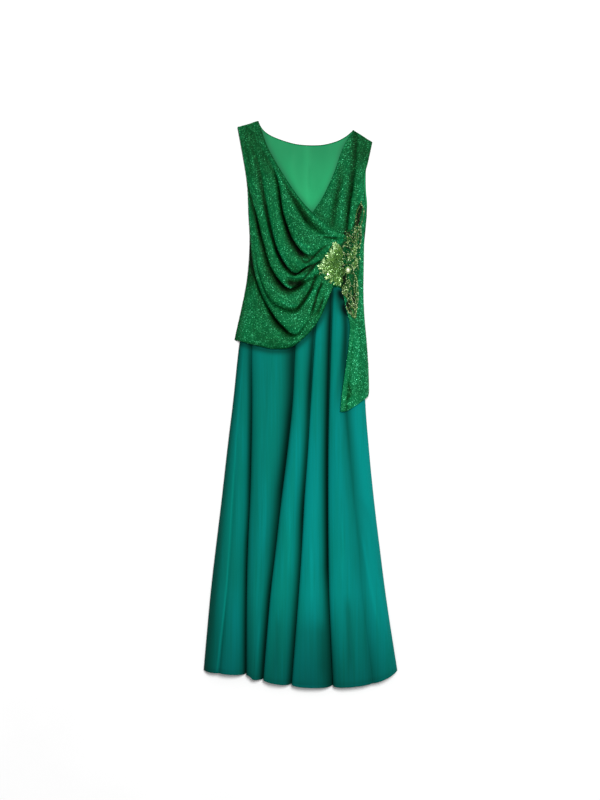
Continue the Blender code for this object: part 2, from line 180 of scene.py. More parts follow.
jersey = {
    "deep": fromSrgb(3, 82, 42), "base": fromSrgb(4, 102, 56), "cloudScale": 30.0, "shadePower": 1.4,
    "fleck": fromSrgb(46, 162, 96), "fleckScale": 560.0, "fleckShare": 0.84, "fleckFade": 0.06, "dullest": 0.35,
    "rough": 0.65, "polish": 0.3, "knitScale": 900.0, "knitStretch": (1.0, 1.6, 1.0), "knitHigh": 0.0004,
}


def jerseyFinish():
    f = Finish("glitterJersey", Specular_IOR_Level=0.05)
    flecks = f.cells(jersey["fleckScale"], "Color")
    isFleck = f.ramp(f.channel(flecks, "Green"), jersey["fleckShare"], jersey["fleckShare"] + jersey["fleckFade"])
    # lighter flecks of glitter thread, each with a painted glint of its own random strength
    glint = jersey["dullest"] + (1 - jersey["dullest"]) * f.channel(flecks, "Blue")
    ground = f.mix(f.ramp(f.noise(jersey["cloudScale"], 3.0), 0.3, 0.7), jersey["deep"], jersey["base"])
    f.feed("Base Color", f.shaded(f.mix(isFleck * glint, ground, jersey["fleck"]), jersey["shadePower"]))
    f.feed("Roughness", jersey["rough"] - jersey["polish"] * isFleck)
    f.bump(f.cells(jersey["knitScale"], stretch=jersey["knitStretch"]), jersey["knitHigh"], 0.5)
    return f.material


chiffon = {
    # hollow is the hue towards which painted shade turns the cloth in its folds
    "base": fromSrgb(2, 131, 125), "deep": fromSrgb(2, 120, 107), "hollow": fromSrgb(5, 113, 96),
    "green": fromSrgb(3, 124, 96), "greenShare": 0.5,
    "streaks": (190.0, 4.0, 190.0), "streakShare": 0.4, "cloudScale": 7.0, "clouds": (1.0, 0.35, 1.0),
    "weaveScale": 1400.0, "weaveShare": 0.4, "weaveHigh": 0.0005,
    # where each zone begins and ends, in metres, and its share: darker to the hem, darker and greener at the top but
    # less so on the right, and painted shade on the left side
    "hem": (-0.50, -0.74), "hemShare": 0.5, "top": (-0.10, 0.32), "topShare": 0.24,
    "left": (-0.04, -0.20), "leftShare": 0.2, "right": (-0.02, 0.05), "rightShare": 0.7,
}


def chiffonFinish():
    f = Finish("chiffon", Specular_IOR_Level=0.03, Roughness=0.75)
    x, y, shade = f.axis("X"), f.axis("Y"), f.attribute("shade")
    streaks = f.noise(1.0, 3.0, chiffon["streaks"])
    cloud = f.noise(chiffon["cloudScale"], 2.0, chiffon["clouds"])
    uneven = streaks * chiffon["streakShare"] + cloud * (1 - chiffon["streakShare"])
    high = f.ramp(y, *chiffon["top"]) * (1 - chiffon["rightShare"] * f.ramp(x, *chiffon["right"]))
    tone = f.mix(f.ramp(uneven, 0.4, 0.6), chiffon["deep"], chiffon["base"])
    tone = f.mix(high * chiffon["greenShare"], tone, chiffon["green"])
    # where the painted shade is deep, the colour turns towards the greener hollow hue
    tone = f.mix(f.ramp(shade, 0.95, 0.35), tone, chiffon["hollow"])
    hem = 1 - chiffon["hemShare"] * f.ramp(y, *chiffon["hem"])
    # painted shade on the skirt's left side
    left = 1 - chiffon["leftShare"] * f.ramp(x, *chiffon["left"])
    bright = shade * hem * (1 - chiffon["topShare"] * high) * left
    f.feed("Base Color", f.times(tone, bright, bright, bright))
    weave = f.cells(chiffon["weaveScale"]) * chiffon["weaveShare"] + streaks * (1 - chiffon["weaveShare"])
    f.bump(weave, chiffon["weaveHigh"], 0.3)
    return f.material


lining = {
    "base": fromSrgb(12, 139, 84), "light": fromSrgb(30, 157, 98), "cloudScale": 14.0, "clouds": (1.0, 0.4, 1.0),
    "bandX": 0.018, "bandWidth": 0.014, "grainScale": 1500.0,
}


def liningFinish():
    f = Finish("lining", Specular_IOR_Level=0.1, Roughness=0.5)
    # a lighter band down the satin's middle is a painted sheen
    band = f.ramp(abs(f.axis("X") - lining["bandX"]), lining["bandWidth"], 0.0)
    cloud = f.ramp(f.noise(lining["cloudScale"], 2.0, lining["clouds"]), 0.35, 0.75)
    tone, shade = f.mix(cloud * 0.5 + band * 0.4, lining["base"], lining["light"]), f.attribute("shade")
    f.feed("Base Color", f.times(tone, shade, shade, shade))
    f.bump(f.noise(lining["grainScale"], 1.0), 0.0003, 0.2)
    return f.material


net = {"deep": fromSrgb(4, 84, 36), "light": fromSrgb(10, 118, 56), "meshScale": 500.0}


def netFinish():
    f = Finish("net", Roughness=0.7, Specular_IOR_Level=0.05)
    holes, shade = f.cells(net["meshScale"]), f.attribute("shade")
    tone = f.mix(f.ramp(holes, 0.2, 0.6), net["light"], net["deep"])
    f.feed("Base Color", f.times(tone, shade, shade, shade))
    f.bump(holes, 0.0004, 0.5)
    return f.material


# small things, each coloured by its own random tint: three colours, and the tint from which they turn to the palest
tinted = {
    # the palest sequins, those with the highest tints, are a painted glint
    "sequin": {
        "colours": (fromSrgb(1, 70, 36), fromSrgb(2, 106, 58), fromSrgb(86, 222, 156)), "paleFrom": 0.77,
        "metallic": 0.3, "roughness": 0.4, "coat": 0.0, "specular": 0.1, "shadePower": 1.6,
    },
    "paillette": {
        "colours": (fromSrgb(34, 92, 22), fromSrgb(96, 148, 56), fromSrgb(206, 246, 176)), "paleFrom": 0.7,
        "metallic": 0.35, "roughness": 0.2, "coat": 0.4, "specular": 0.5, "shadePower": None,
    },
    "bead": {
        "colours": (fromSrgb(30, 56, 14), fromSrgb(122, 168, 86), fromSrgb(226, 250, 192)), "paleFrom": 0.7,
        "metallic": 0.45, "roughness": 0.22, "coat": 0.3, "specular": 0.5, "shadePower": None,
    },
    "darkBead": {
        "colours": (fromSrgb(5, 9, 3), fromSrgb(16, 21, 8), fromSrgb(64, 70, 34)), "paleFrom": 0.7,
        "metallic": 0.0, "roughness": 0.55, "coat": 0.0, "specular": 0.08, "shadePower": None,
    },
}


def tintedFinish(name):
    look = tinted[name]
    f = Finish(name, Metallic=look["metallic"], Coat_Weight=look["coat"], Specular_IOR_Level=look["specular"])
    dark, middle, pale = look["colours"]
    tint = f.attribute("tint")
    tone = f.mix(f.ramp(tint, look["paleFrom"], 1.0), f.mix(f.ramp(tint, 0.0, 0.7), dark, middle), pale)
    f.feed("Base Color", f.shaded(tone, look["shadePower"]) if look["shadePower"] else tone)
    f.feed("Roughness", look["roughness"] + 0.1 * f.noise(900.0))
    return f.material


# smooth curve through points, read at parameters that count the points from 0
def spline(points, at):
    p = np.asarray(points, float)
    p = np.concatenate([[2 * p[0] - p[1]], p, [2 * p[-1] - p[-2]]])
    at = np.asarray(at, float)
    first = np.clip(at.astype(int), 0, len(p) - 4)
    f = (at - first).reshape((-1,) + (1,) * (p.ndim - 1))
    a, b, c, d = (p[first + k] for k in range(4))
    return 0.5 * (2 * b + (c - a) * f + (2 * a - 5 * b + 4 * c - d) * f**2 + (3 * b - a - 3 * c + d) * f**3)


# from 0 to 1 over a stretch after the start, or before it where the stretch is negative
def rising(value, start, stretch):
    return np.clip((value - start) / stretch, 0, 1)


# soft random bumps from -1 to 1, one for each unit of x and y
def softNoise(x, y, seed):
    column, line = np.floor(x).astype(np.int64), np.floor(y).astype(np.int64)
    fx, fy = x - column, y - line
    fx, fy = fx * fx * (3 - 2 * fx), fy * fy * (3 - 2 * fy)

    def corner(a, b):
        h = (a * 374761393 + b * 668265263 + seed * 974634777) & 0xFFFFFFFF
        h = ((h ^ (h >> 13)) * 1274126177) & 0xFFFFFFFF
        return ((h ^ (h >> 16)) & 0xFFFF) / 32767.5 - 1

    low = corner(column, line) * (1 - fx) + corner(column + 1, line) * fx
    high = corner(column, line + 1) * (1 - fx) + corner(column + 1, line + 1) * fx
    return low * (1 - fy) + high * fy


# points between the rows, with a sharp turn at the row that is the corner
def across(lines, at, corner):
    if corner is None:
        return spline(lines, at)
    upper = at <= corner
    return np.concatenate([spline(lines[:corner + 1], at[upper]), spline(lines[corner:], at[~upper] - corner)])


# row numbers across a cloth, closer together beside each row, where the folds are sharp
def levels(count, steps):
    part = (1 - np.cos(np.linspace(0, np.pi, steps + 1)[:-1])) / 2
    return np.append(np.concatenate([k + part for k in range(count - 1)]), count - 1.0)


# what all the valleys share: how finely their reach is measured, how uneven they are along their length, how far a
# lip reaches, and where the lit rim beside a lip lies
valley = {
    "steps": 20, "uneven": 0.16, "waves": 9, "seed": 7,
    "lipReach": 5.0, "lipShare": 0.8, "rimAt": 8.0, "rimReach": 4.5,
}


# plan, fold height and shade of a cloth: its rows run along it, and the ridge after each valley overhangs it by
# lip, or the ridge before it where lip is negative. In a cloth's settings, crest is the height of its ridges along
# it, lipCrest the crest at which its lips are full, rim the light on a lip's rim, edgePowers how sharp the shade's
# two edges are, and squint the least share of its reach that a shade keeps where rows run close together
def loft(cloth):
    rows, corner = cloth["rows"], cloth.get("corner")
    share = np.linspace(0, 1, cloth["along"])
    at = levels(len(rows), cloth["acrossSteps"])
    lines = np.array([spline(row["line"], share * (len(row["line"]) - 1)) for row in rows])
    fine = np.linspace(0, len(rows) - 1, valley["steps"] * (len(rows) - 1) + 1)
    web, plan = across(lines, fine, corner), across(lines, at, corner)
    lengths = np.linalg.norm(np.diff(web, axis=0), axis=2)
    run = np.concatenate([np.zeros((1, len(share))), np.cumsum(lengths, axis=0)])
    runAt = np.array([np.interp(at, fine, run[:, k]) for k in range(len(share))]).T
    crest = np.ones(plan.shape[:2]) * spline(cloth["crest"], share * (len(cloth["crest"]) - 1))
    fold, shade, shift = np.ones(crest.shape), np.ones(crest.shape), np.zeros(crest.shape)
    for number, row in enumerate(rows):
        depth, tone, wide = (
            np.interp(share, np.linspace(0, 1, len(row[key])), row[key]) for key in ("depth", "tone", "wide"))
        waves = softNoise(share * valley["waves"], np.full(len(share), 5.0 * number), valley["seed"])
        uneven = 1 + valley["uneven"] * waves
        away = runAt - run[number * valley["steps"]]
        ahead, over = np.gradient(lines[number], axis=0), np.gradient(web, axis=0)[number * valley["steps"]]
        squint = np.abs(ahead[:, 0] * over[:, 1] - ahead[:, 1] * over[:, 0])
        squint = squint / np.linalg.norm(ahead, axis=1) / np.linalg.norm(over, axis=1)
        reach = np.where(away < 0, max(row["before"], 0.01), max(row["after"], 0.01))
        fold *= 1 - np.clip(depth * uneven, 0, 1) * np.exp(-np.abs(away) / reach)
        side = -1 if row["lip"] < 0 else 1
        shift -= row["lip"] * depth * np.exp(-((away / valley["lipReach"] - side) ** 2))
        hollow = (away + valley["lipShare"] * row["lip"]) * np.clip(squint, cloth["squint"], 1)
        spreads = np.where(hollow < 0, row["dark"][1], row["dark"][2]) * wide
        strength = np.clip(tone * uneven, 0, 1)
        power = np.where(hollow < 0, *cloth["edgePowers"])
        shade *= 1 - row["dark"][0] * strength * np.exp(-((np.abs(hollow) / spreads) ** power))
        bright = np.exp(-(((away * side - valley["rimAt"]) / valley["rimReach"]) ** 2))
        shade *= 1 + cloth["rim"] * strength * (row["lip"] != 0) * bright
    direction = np.gradient(plan, axis=0)
    length = np.linalg.norm(direction, axis=2, keepdims=True)
    plan = plan + direction / np.maximum(length, 1e-6) * (shift * crest / cloth["lipCrest"])[..., None]
    return plan, fold * crest, fold, shade, share


# small folds inside the main ones, long along the cloth and narrow across it
def wrinkles(shape, share, cloth):
    lengthwise = np.broadcast_to(share * cloth["wrinkleRun"], shape)
    crosswise = np.broadcast_to(np.arange(shape[0])[:, None] * cloth["wrinkleRows"], shape)
    wide = softNoise(crosswise, lengthwise, cloth["seed"])
    return wide + 0.45 * softNoise(crosswise * 2.3, lengthwise * 1.7, cloth["seed"] + 1)


# a single given line: 1 on it, falling to 0 beside it and towards its two ends. The reach to the right of
# the line's direction is narrower by the share crisp
def trough(x, y, line, reach, fade, crisp=0.0):
    points = spline(line, np.linspace(0, len(line) - 1, 41))
    nearest, at, side = np.full(x.shape, 1e9), np.zeros(x.shape), np.zeros(x.shape)
    for k, ((px, py), (qx, qy)) in enumerate(zip(points[:-1], points[1:])):
        dx, dy = qx - px, qy - py
        part = np.clip(((x - px) * dx + (y - py) * dy) / (dx * dx + dy * dy), 0, 1)
        away = (x - px - part * dx) ** 2 + (y - py - part * dy) ** 2
        closer = away < nearest
        nearest, at = np.where(closer, away, nearest), np.where(closer, (k + part) / 40, at)
        side = np.where(closer, np.sign((x - px) * dy - (y - py) * dx), side)
    reach = reach * np.where(side > 0, 1 - crisp, 1.0)
    return np.exp(-nearest / reach**2) * rising(at, 0, fade[0]) * rising(at, 1, -fade[1])


# the shade with a soft dark line over it, moved by so much to the right and up
def darkened(shade, x, y, line, strength, reach, fade=(0.02, 0.02), moved=(0, 0)):
    return shade * (1 - strength * trough(x - moved[0], y - moved[1], line, reach, fade))


# the highest cloth so far, as a map over the surface in small cells, for what is laid on it next
surfaceMap = {"cell": 3.0, "lowX": -290.0, "lowY": -780.0, "across": 194, "along": 524}
tops = np.zeros((surfaceMap["along"], surfaceMap["across"]))


def cellPlace(x, y):
    column = np.clip((x - surfaceMap["lowX"]) / surfaceMap["cell"], 0, surfaceMap["across"] - 2)
    line = np.clip((y - surfaceMap["lowY"]) / surfaceMap["cell"], 0, surfaceMap["along"] - 2)
    return line, column


def lay(plan, top):
    line, column = cellPlace(plan[..., 0], plan[..., 1])
    np.maximum.at(tops, (line.astype(int), column.astype(int)), top)


def bedUnder(x, y, steps=2, smooth=2):
    grid = tops
    for _ in range(steps):
        for axis in (0, 1):
            grid = np.maximum(grid, np.maximum(np.roll(grid, 1, axis), np.roll(grid, -1, axis)))
    for _ in range(smooth):
        for axis in (0, 1):
            grid = (np.roll(grid, 1, axis) + 2 * grid + np.roll(grid, -1, axis)) / 4
    line, column = cellPlace(x - surfaceMap["cell"] / 2, y - surfaceMap["cell"] / 2)
    i, j = line.astype(int), column.astype(int)
    f, g = line - i, column - j
    near = grid[i, j] * (1 - g) + grid[i, j + 1] * g
    return near * (1 - f) + (grid[i + 1, j] * (1 - g) + grid[i + 1, j + 1] * g) * f


# a mesh from points in millimetres, in the scene as an object at the origin
def meshPiece(name, points, faces, finish, values, smooth=True):
    mesh = bpy.data.meshes.new(name)
    mesh.from_pydata((np.asarray(points) * mm).tolist(), [], faces)
    mesh.polygons.foreach_set("use_smooth", [smooth] * len(mesh.polygons))
    for key, numbers in values.items():
        numbers = np.asarray(numbers, np.float32).ravel()
        mesh.attributes.new(key, "FLOAT", "POINT").data.foreach_set("value", numbers)
    mesh.materials.append(finish)
    return inScene(name, mesh)


def declare(piece, node):
    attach(piece, "root")
    if node:
        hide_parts(node)
    return piece


# the thickness of a cloth or net, below its top side
def addWall(piece, thickness):
    solidify = piece.modifiers.new("wall", "SOLIDIFY")
    solidify.thickness = thickness * mm
    solidify.offset = -1.0


# a cloth on what lies below it: its grid of places, its heights, and its shade
def layCloth(name, node, plan, top, shade, finish, thickness):
    lay(plan, top)
    rows, columns = top.shape
    points = np.concatenate([plan, top[..., None]], axis=2).reshape(-1, 3)
    index = np.arange(rows * columns).reshape(rows, columns)
    faces = np.stack([index[:-1, :-1], index[:-1, 1:], index[1:, 1:], index[1:, :-1]], axis=-1).reshape(-1, 4)
    a, b, c = (points[faces[:, k]] for k in range(3))
    if np.cross(b - a, c - b)[:, 2].sum() < 0:
        faces = faces[:, ::-1]
    piece = meshPiece(name, points, faces.tolist(), finish, {"shade": np.broadcast_to(shade, top.shape)})
    addWall(piece, thickness)
    print(name, "cloth of", round(sum(face.area for face in piece.data.polygons), 4), "square metres")
    return declare(piece, node)


# millimetres up the dress, and the thickness and height of its layers
skirtTop, tunicHem, waist = 372.0, 168.0, 375.0
wall, liningWall, backWall, seamGap = 1.0, 0.8, 1.4, 0.3
backTop, overTunic = 1.5, 1.8
frontSeam = liningWall + backTop + 2 * seamGap + wall + 0.4
# where the skirt's back begins to step up over the tunic's hem, and over how much
hemStep = (tunicHem - 20, 16)
# heights up the dress at which the rows of the skirt and the cascade are given
stations = (skirtTop, 277, 158, 12, -121, -253, -386, -518)
cascadeStations = (442, 378, 309, 260, 215, 171, 105, 38)
none, edge, noDark, firm = (0.0, 0.0, 0.0), (1.0, 1.0, 1.0), (0.0, 5.0, 5.0), (0.98, 9, 18)


# a row of a cloth: its line, how deep the valley is along it, its reach to both sides, the overhang of the
# ridge beyond it, and its shade as a strength and a reach to both sides, each with shares along the row
def along(line, depth, before, after, lip=0.0, dark=noDark, tone=None, wide=(1.0,)):
    return {"line": line, "depth": depth, "before": before, "after": after, "lip": lip, "dark": dark,
            "tone": tone or depth, "wide": wide}


def down(xs, endX, endY, depth, before, after, lip=0.0, dark=noDark, keys=stations, **more):
    return along(list(zip(xs, keys)) + [(endX, endY)], depth, before, after, lip, dark, **more)


# a crease or a lit ridge: its line, its height, its reach, how much it darkens, or lights where that is below 0,
# the shares over which it fades at its ends, and how much crisper its right side is
def crease(line, height, reach, dark, fade=(0.25, 0.25), crisp=0.0):
    return {"line": line, "height": height, "reach": reach, "dark": dark, "fade": fade, "crisp": crisp}


skirt = {
    "rows": [
        down((-130, -140, -162, -178, -194, -209, -225, -240), -257, -709, edge, 0, 13, 0.0, (0.56, 4, 24),
             wide=(0.4, 0.4, 0.4, 0.45, 0.5, 0.6, 0.8, 1.0, 1.0)),
        down((-125, -132, -150, -162, -172, -180, -188, -197), -215, -710, (0.0, 0.12, 0.2), 12, 6, 0.0,
             (0.6, 3, 14)),
        down((-109, -122, -130, -129, -130, -133, -139, -142), -143, -718, (0.5, 0.92, 0.95), 14, 7, 5.0,
             (0.68, 8, 13)),
        down((-40, -62, -73, -84, -92, -100, -107, -112), -124, -728, none, 0, 0),
        down((8, -3, -14, -20, -33, -49, -64, -79), -97, -732, (0.85, 0.96, 0.97), 17, 6, 6.0, (0.88, 20, 10),
             tone=(0.85, 0.96, 0.97, 0.97, 0.97, 0.97, 0.95, 0.94, 0.75),
             wide=(1.0, 1.0, 1.0, 1.0, 1.0, 1.0, 0.9, 0.6, 0.45)),
        down((50, 46, 37, 28, 21, 12, 5, -4), -22, -744, (0.85, 0.95, 0.95), 15, 6, 6.0, (0.9, 12, 6),
             tone=(0.85, 0.95, 0.97, 0.97, 0.95, 0.93, 0.9, 0.87, 0.75)),
        down((85, 85, 81, 77, 75, 75, 76, 78), 88, -748, (0.9, 1.0, 0.95), 15, 7, 6.0, (0.94, 12, 7),
             tone=(0.9, 1.0, 1.0, 1.0, 0.98, 0.97, 0.95, 0.85, 0.55),
             wide=(1.0, 1.0, 1.0, 1.0, 1.0, 1.0, 1.0, 1.2, 1.9)),
        down((114, 118, 119, 119, 129, 140, 154, 164), 191, -737, (0.7, 0.45, 0.3, 0.25), 16, 16, 0.0, (0.8, 19, 17),
             tone=(0.45, 0.45, 0.55, 0.5, 0.4, 0.3, 0.25), wide=(0.4, 0.4, 0.5, 0.9, 1.0, 1.0, 1.0)),
        down((162, 163, 170, 172, 182, 195, 211, 228), 257, -709, edge, 11, 0),
    ],
    "crest": (3.0, 9.0, 15.0, 21.0, 25.0, 28.0, 29.0, 29.0, 27.0), "lipCrest": 28.0,
    "along": 210, "acrossSteps": 23, "rim": 0.05, "edgePowers": (1.5, 1.5), "squint": 1.0,
    "wrinkle": 0.8, "wrinkleRun": 6.0, "wrinkleRows": 0.12, "rippleShade": 0.05, "seed": 11,
    # how far the front lies above the back, its length, how far the hem dips at its folds and from which share on,
    # and from which height on a fold has all of its wrinkles and creases
    "lift": 1.7, "length": 1090, "hemScallop": 7.0, "scallops": (0.9, 0.1), "wrinkledFrom": 20, "creasedFrom": 12,
    # what lies on the front takes it to be so high between its folds and beside its edges, up to the waist
    "envelope": 2.2, "envelopeEdge": 9, "envelopeReach": 12, "envelopeTop": waist + 30,
    # the rolled hem: how wide it is and its painted highlight, and where, how wide and how dark the seam line above
    # it is
    "rolledHem": {"wide": 4.5, "light": 0.22, "seamAt": 7, "seamReach": 2, "seamDark": 0.25},
    "creases": [
        crease([(-150, 158), (-162, 12), (-172, -121), (-180, -253), (-188, -386), (-199, -518), (-219, -690),
                (-221, -712)], 1.0, 2.8, -0.5, (0.5, 0.02)),
        crease([(-28, -270), (-29, -370), (-30, -460)], 0.6, 3.5, -0.14),
        crease([(110, -270), (111, -370), (111, -480)], 0.6, 3.5, -0.16),
        crease([(160, -330), (171, -399), (193, -521), (214, -620)], 0.6, 4.0, -0.14),
        crease([(28, -360), (29, -450), (30, -560)], 0.6, 4.0, -0.1),
        crease([(-108, -560), (-112, -640), (-114, -716)], 0.6, 3.5, -0.16),
        crease([(-84, 150), (-92, 20), (-98, -120), (-104, -240)], -0.6, 9.0, 0.08),
        crease([(150, -240), (176, -290), (196, -360), (212, -440), (222, -560)], -1.5, 12, 0.08),
        crease([(122, -500), (128, -600), (132, -740)], -3.0, 8, 0.2),
        crease([(-210, -300), (-222, -420), (-232, -560), (-236, -690)], -2.0, 8, 0.14),
        crease([(56, -570), (58, -650), (60, -744)], -2.5, 14, 0.2),
        crease([(8, -550), (12, -640), (14, -744)], 0.0, 40, 0.16, (0.3, 0.02)),
        crease([(-60, -540), (-64, -640), (-70, -738)], -2.5, 9, 0.15),
    ],
}


drape = {
    "rows": [
        along([(-112, 752), (-87, 682), (-50, 616), (-8, 553), (32, 507), (77, 470), (125, 444)], (0.7, 0.6, 0.6), 0,
              5, 0.0, (0.5, 3, 3)),
        along([(-124, 748), (-90, 674), (-50, 598), (-13, 531), (21, 478), (69, 447), (122, 436)],
              (0.0, 0.05, 0.35, 0.6, 0.7), 12, 9, 0.0, (0.85, 20, 10),
              (0.0, 0.0, 0.1, 0.35, 0.72, 0.75, 0.5, 0.08, 0.1), (0.3, 0.3, 0.3, 0.4, 0.6, 0.75, 0.65, 0.3, 0.25)),
        along([(-138, 743), (-95, 669), (-62, 600), (-45, 507), (-15, 429), (28, 394), (117, 417)],
              (0.0, 0.15, 0.75, 0.98, 0.98, 0.6, 0.3), 8, 14, -5.0, firm,
              (0.0, 0.05, 0.35, 0.7, 0.85, 0.97, 1.0, 0.25, 0.2), (0.3, 0.3, 0.4, 0.6, 0.6, 0.95, 0.95, 0.25, 0.2)),
        along([(-153, 739), (-113, 648), (-94, 554), (-72, 447), (-46, 382), (-13, 348), (25, 369), (111, 398)],
              (0.0, 0.2, 0.7, 0.95, 0.97, 0.7, 0.4), 8, 12, -5.0, firm,
              (0.0, 0.2, 0.7, 0.85, 0.93, 1.0, 1.0, 0.8, 0.4), (0.25, 0.25, 0.3, 0.4, 0.5, 0.6, 0.5, 0.2, 0.15)),
        along([(-167, 735), (-137, 645), (-115, 560), (-97, 475), (-77, 397), (-46, 340), (6, 334), (106, 389)], none,
              0, 0),
        along([(-143, 595), (-132, 552), (-118, 503), (-100, 432), (-77, 360), (-34, 309), (12, 328), (101, 376)],
              (0.1, 0.4, 0.8, 0.95, 1.0, 0.9, 0.4), 8, 14, -5.5, firm,
              (0.4, 0.75, 0.9, 0.97, 1.0, 1.0, 0.9, 0.5, 0.3), (0.25, 0.35, 0.42, 0.5, 0.6, 0.72, 0.6, 0.4, 0.25)),
        along([(-138, 502), (-132, 457), (-122, 399), (-106, 329), (-75, 268), (-16, 248), (26, 300), (98, 362)],
              (0.0, 0.0, 0.3, 0.6, 0.4, 0.2), 9, 8, -1.0, (0.8, 13, 10),
              (0.0, 0.0, 0.0, 0.2, 0.35, 0.5, 0.75, 0.5, 0.0), (0.5, 0.5, 0.5, 0.5, 0.7, 0.9, 0.7, 0.3, 0.3)),
        along([(-135, 428), (-130, 378), (-114, 315), (-88, 257), (-52, 207), (-10, 184), (34, 246), (95, 338)],
              (0.5, 0.6, 0.7, 0.95, 0.98, 0.2, 0.1), 11, 9, -1.0, (0.98, 8, 11),
              (1.0, 0.95, 0.6, 0.6, 0.97, 1.0, 0.3, 0.0, 0.0), (1.2, 1.0, 0.4, 0.35, 0.75, 0.8, 0.4, 0.3, 0.3)),
        along([(-143, 322), (-135, 282), (-120, 243), (-95, 208), (-55, 178), (-4, 174), (46, 238), (93, 327)],
              (0.0, 0.0, 0.4), 6, 6),
        along([(-175, 171), (-143, 162), (-106, 152), (-66, 146), (-16, 155), (45, 216), (87, 309)], (0.7, 0.6, 0.7),
              6, 0, 0.0, (0.4, 3, 3)),
    ],
    "crest": (3.0, 7.0, 13.0, 16.0, 16.0, 12.0, 7.0), "corner": 4, "lipCrest": 16.0,
    "along": 230, "acrossSteps": 21, "rim": 0.22, "edgePowers": (3.0, 2.2), "squint": 0.25,
    "wrinkle": 0.9, "wrinkleRun": 7.0, "wrinkleRows": 0.16, "rippleShade": 0.09, "seed": 31,
    # how much higher it lies on the wrap, from where on across and down; from where down it lies on the skirt; and
    # how its side rolls down to the back's, with painted shade along it from a height down
    "overWrap": 7.0, "wrapAcross": (-45, 50), "wrapDown": (545, -40), "skirtDown": (waist + 35, -40),
    "sideReach": 6, "sideDrop": 1.0, "sideDark": 0.4, "sideDarkDown": (500, -60),
    "creases": [
        # creases that fan out from the motif to the lower left, each with a lit ridge beside it
        crease([(42, 348), (33, 320), (22, 294), (8, 269), (-8, 247)], -4.0, 5, 0.7, (0.1, 0.3), 0.4),
        crease([(60, 326), (50, 307), (43, 288), (38, 270), (31, 248), (24, 226)], -4.0, 4.8, 0.8, (0.1, 0.25), 0.4),
        crease([(64, 294), (56, 268), (48, 246), (34, 226)], -3.0, 4.5, 0.6, (0.3, 0.3)),
        crease([(-4, 295), (18, 318), (40, 346)], 2.0, 4, -0.3),
        crease([(-4, 251), (22, 277), (41, 310), (54, 340)], 2.5, 4.5, -0.3),
        crease([(20, 238), (34, 263), (52, 296), (64, 325)], 2.5, 4.5, -0.25),
        crease([(52, 240), (64, 274), (77, 311)], 2.0, 5, -0.2),
        # the shaded hollow below the third fold, and the sharp edge where it meets the lit cloth
        crease([(-44, 326), (-24, 320), (-4, 321), (10, 332)], -3.0, 12, 0.85),
        crease([(-24, 302), (-8, 312), (6, 328)], -1.0, 7, 0.5),
        crease([(-44, 383), (-22, 361), (-4, 352), (16, 355), (36, 373)], -2.0, 9, 0.45),
        crease([(-12, 312), (8, 330), (24, 350), (38, 366)], -2.0, 3.6, 0.6, (0.3, 0.1)),
        # thin lit rims of the folded edges
        crease([(-30, 458), (-23, 444), (-8, 429), (15, 418), (40, 421)], 1.2, 2.6, -0.5),
        crease([(-42, 381), (-31, 367), (-20, 358), (-12, 352)], 1.0, 2.4, -0.4),
        crease([(-62, 345), (-22, 335), (4, 338), (22, 350), (38, 368)], 1.5, 3.0, -0.25),
        crease([(-66, 282), (-40, 266), (-24, 259), (-8, 262), (6, 277)], 1.2, 3.0, -0.4),
        crease([(-44, 318), (-31, 311), (-18, 305)], 1.5, 3.0, -0.9),
        crease([(4, 384), (12, 382), (20, 384)], 1.0, 2.4, -0.5),
        # creases that run into the top of the motif
        crease([(2, 382), (10, 376), (20, 377), (32, 388), (58, 412), (80, 426)], -1.5, 3.2, 0.65, (0.1, 0.2)),
        crease([(20, 352), (38, 368), (62, 388)], -1.5, 3.0, 0.7),
        crease([(40, 449), (72, 446), (103, 443)], 2.0, 2.5, -0.35),
        crease([(56, 444), (80, 440), (104, 437)], -1.5, 3.0, 0.55),
        # soft shade on the side and the shoulder
        crease([(-158, 715), (-140, 650), (-128, 590)], -2.0, 7, 0.25),
        crease([(-140, 745), (-122, 690), (-108, 630), (-100, 560)], -0.5, 32, 0.35, (0.02, 0.4)),
        crease([(-100, 172), (-50, 164), (-4, 168)], 0.0, 16, 0.16),
        crease([(-129, 351), (-116, 310), (-105, 262), (-96, 200)], -2.0, 8, 0.25),
        crease([(-104, 470), (-92, 400), (-62, 325)], 2.0, 6, -0.12),
    ],
}


underWrap = {
    "rows": [
        along([(140, 728), (114, 682), (87, 608), (58, 547), (32, 507), (11, 457), (-5, 378)], (0.6, 0.6, 0.6), 0, 5),
        along([(145, 724), (128, 664), (110, 590), (90, 530), (75, 485), (62, 440), (55, 378)], (0.0, 0.45, 0.2), 12,
              12, 0.0, (0.35, 10, 10)),
        along([(150, 721), (148, 652), (140, 580), (131, 515), (126, 465), (122, 420), (119, 378)], (0.5, 0.97, 0.8),
              8, 6, 3.0, (0.95, 11, 7), (0.45, 0.6, 0.7, 0.8, 0.85), (1.4, 1.2, 0.7, 0.55, 0.6)),
        along([(173, 706), (163, 645), (152, 580), (149, 525), (148, 480), (147, 430), (145, 378)], (0.0, 0.3, 0.3),
              10, 10, 0.0, (0.4, 9, 9)),
        along([(191, 695), (179, 640), (169, 600), (172, 550), (176, 505), (170, 440), (166, 378)], (0.6, 0.7, 0.6),
              5, 0, 0.0, (0.5, 3, 3)),
    ],
    "crest": (3.0, 6.0, 8.0, 8.0, 6.0, 4.0, 2.5), "lipCrest": 8.0, "along": 120, "acrossSteps": 26,
    "rim": 0.1, "edgePowers": (2.0, 1.5), "squint": 1.0,
    "wrinkle": 0.4, "wrinkleRun": 5.0, "wrinkleRows": 0.14, "rippleShade": 0.07, "seed": 51,
    # the shadow of the overlay's neck edge
    "neckShadow": {"strength": 0.15, "reach": 9, "moved": (4, 6)},
    "creases": [
        crease([(108, 650), (104, 590), (95, 540), (89, 505), (84, 460)], -1.5, 8, 0.45, (0.25, 0.1)),
        crease([(166, 712), (168, 670), (164, 620)], 0.0, 22, 0.34, (0.02, 0.4)),
        crease([(164, 600), (160, 560), (158, 520)], 0.8, 9, -0.2),
        crease([(114, 600), (110, 550), (108, 500), (106, 470)], 0.8, 6, -0.15),
    ],
}


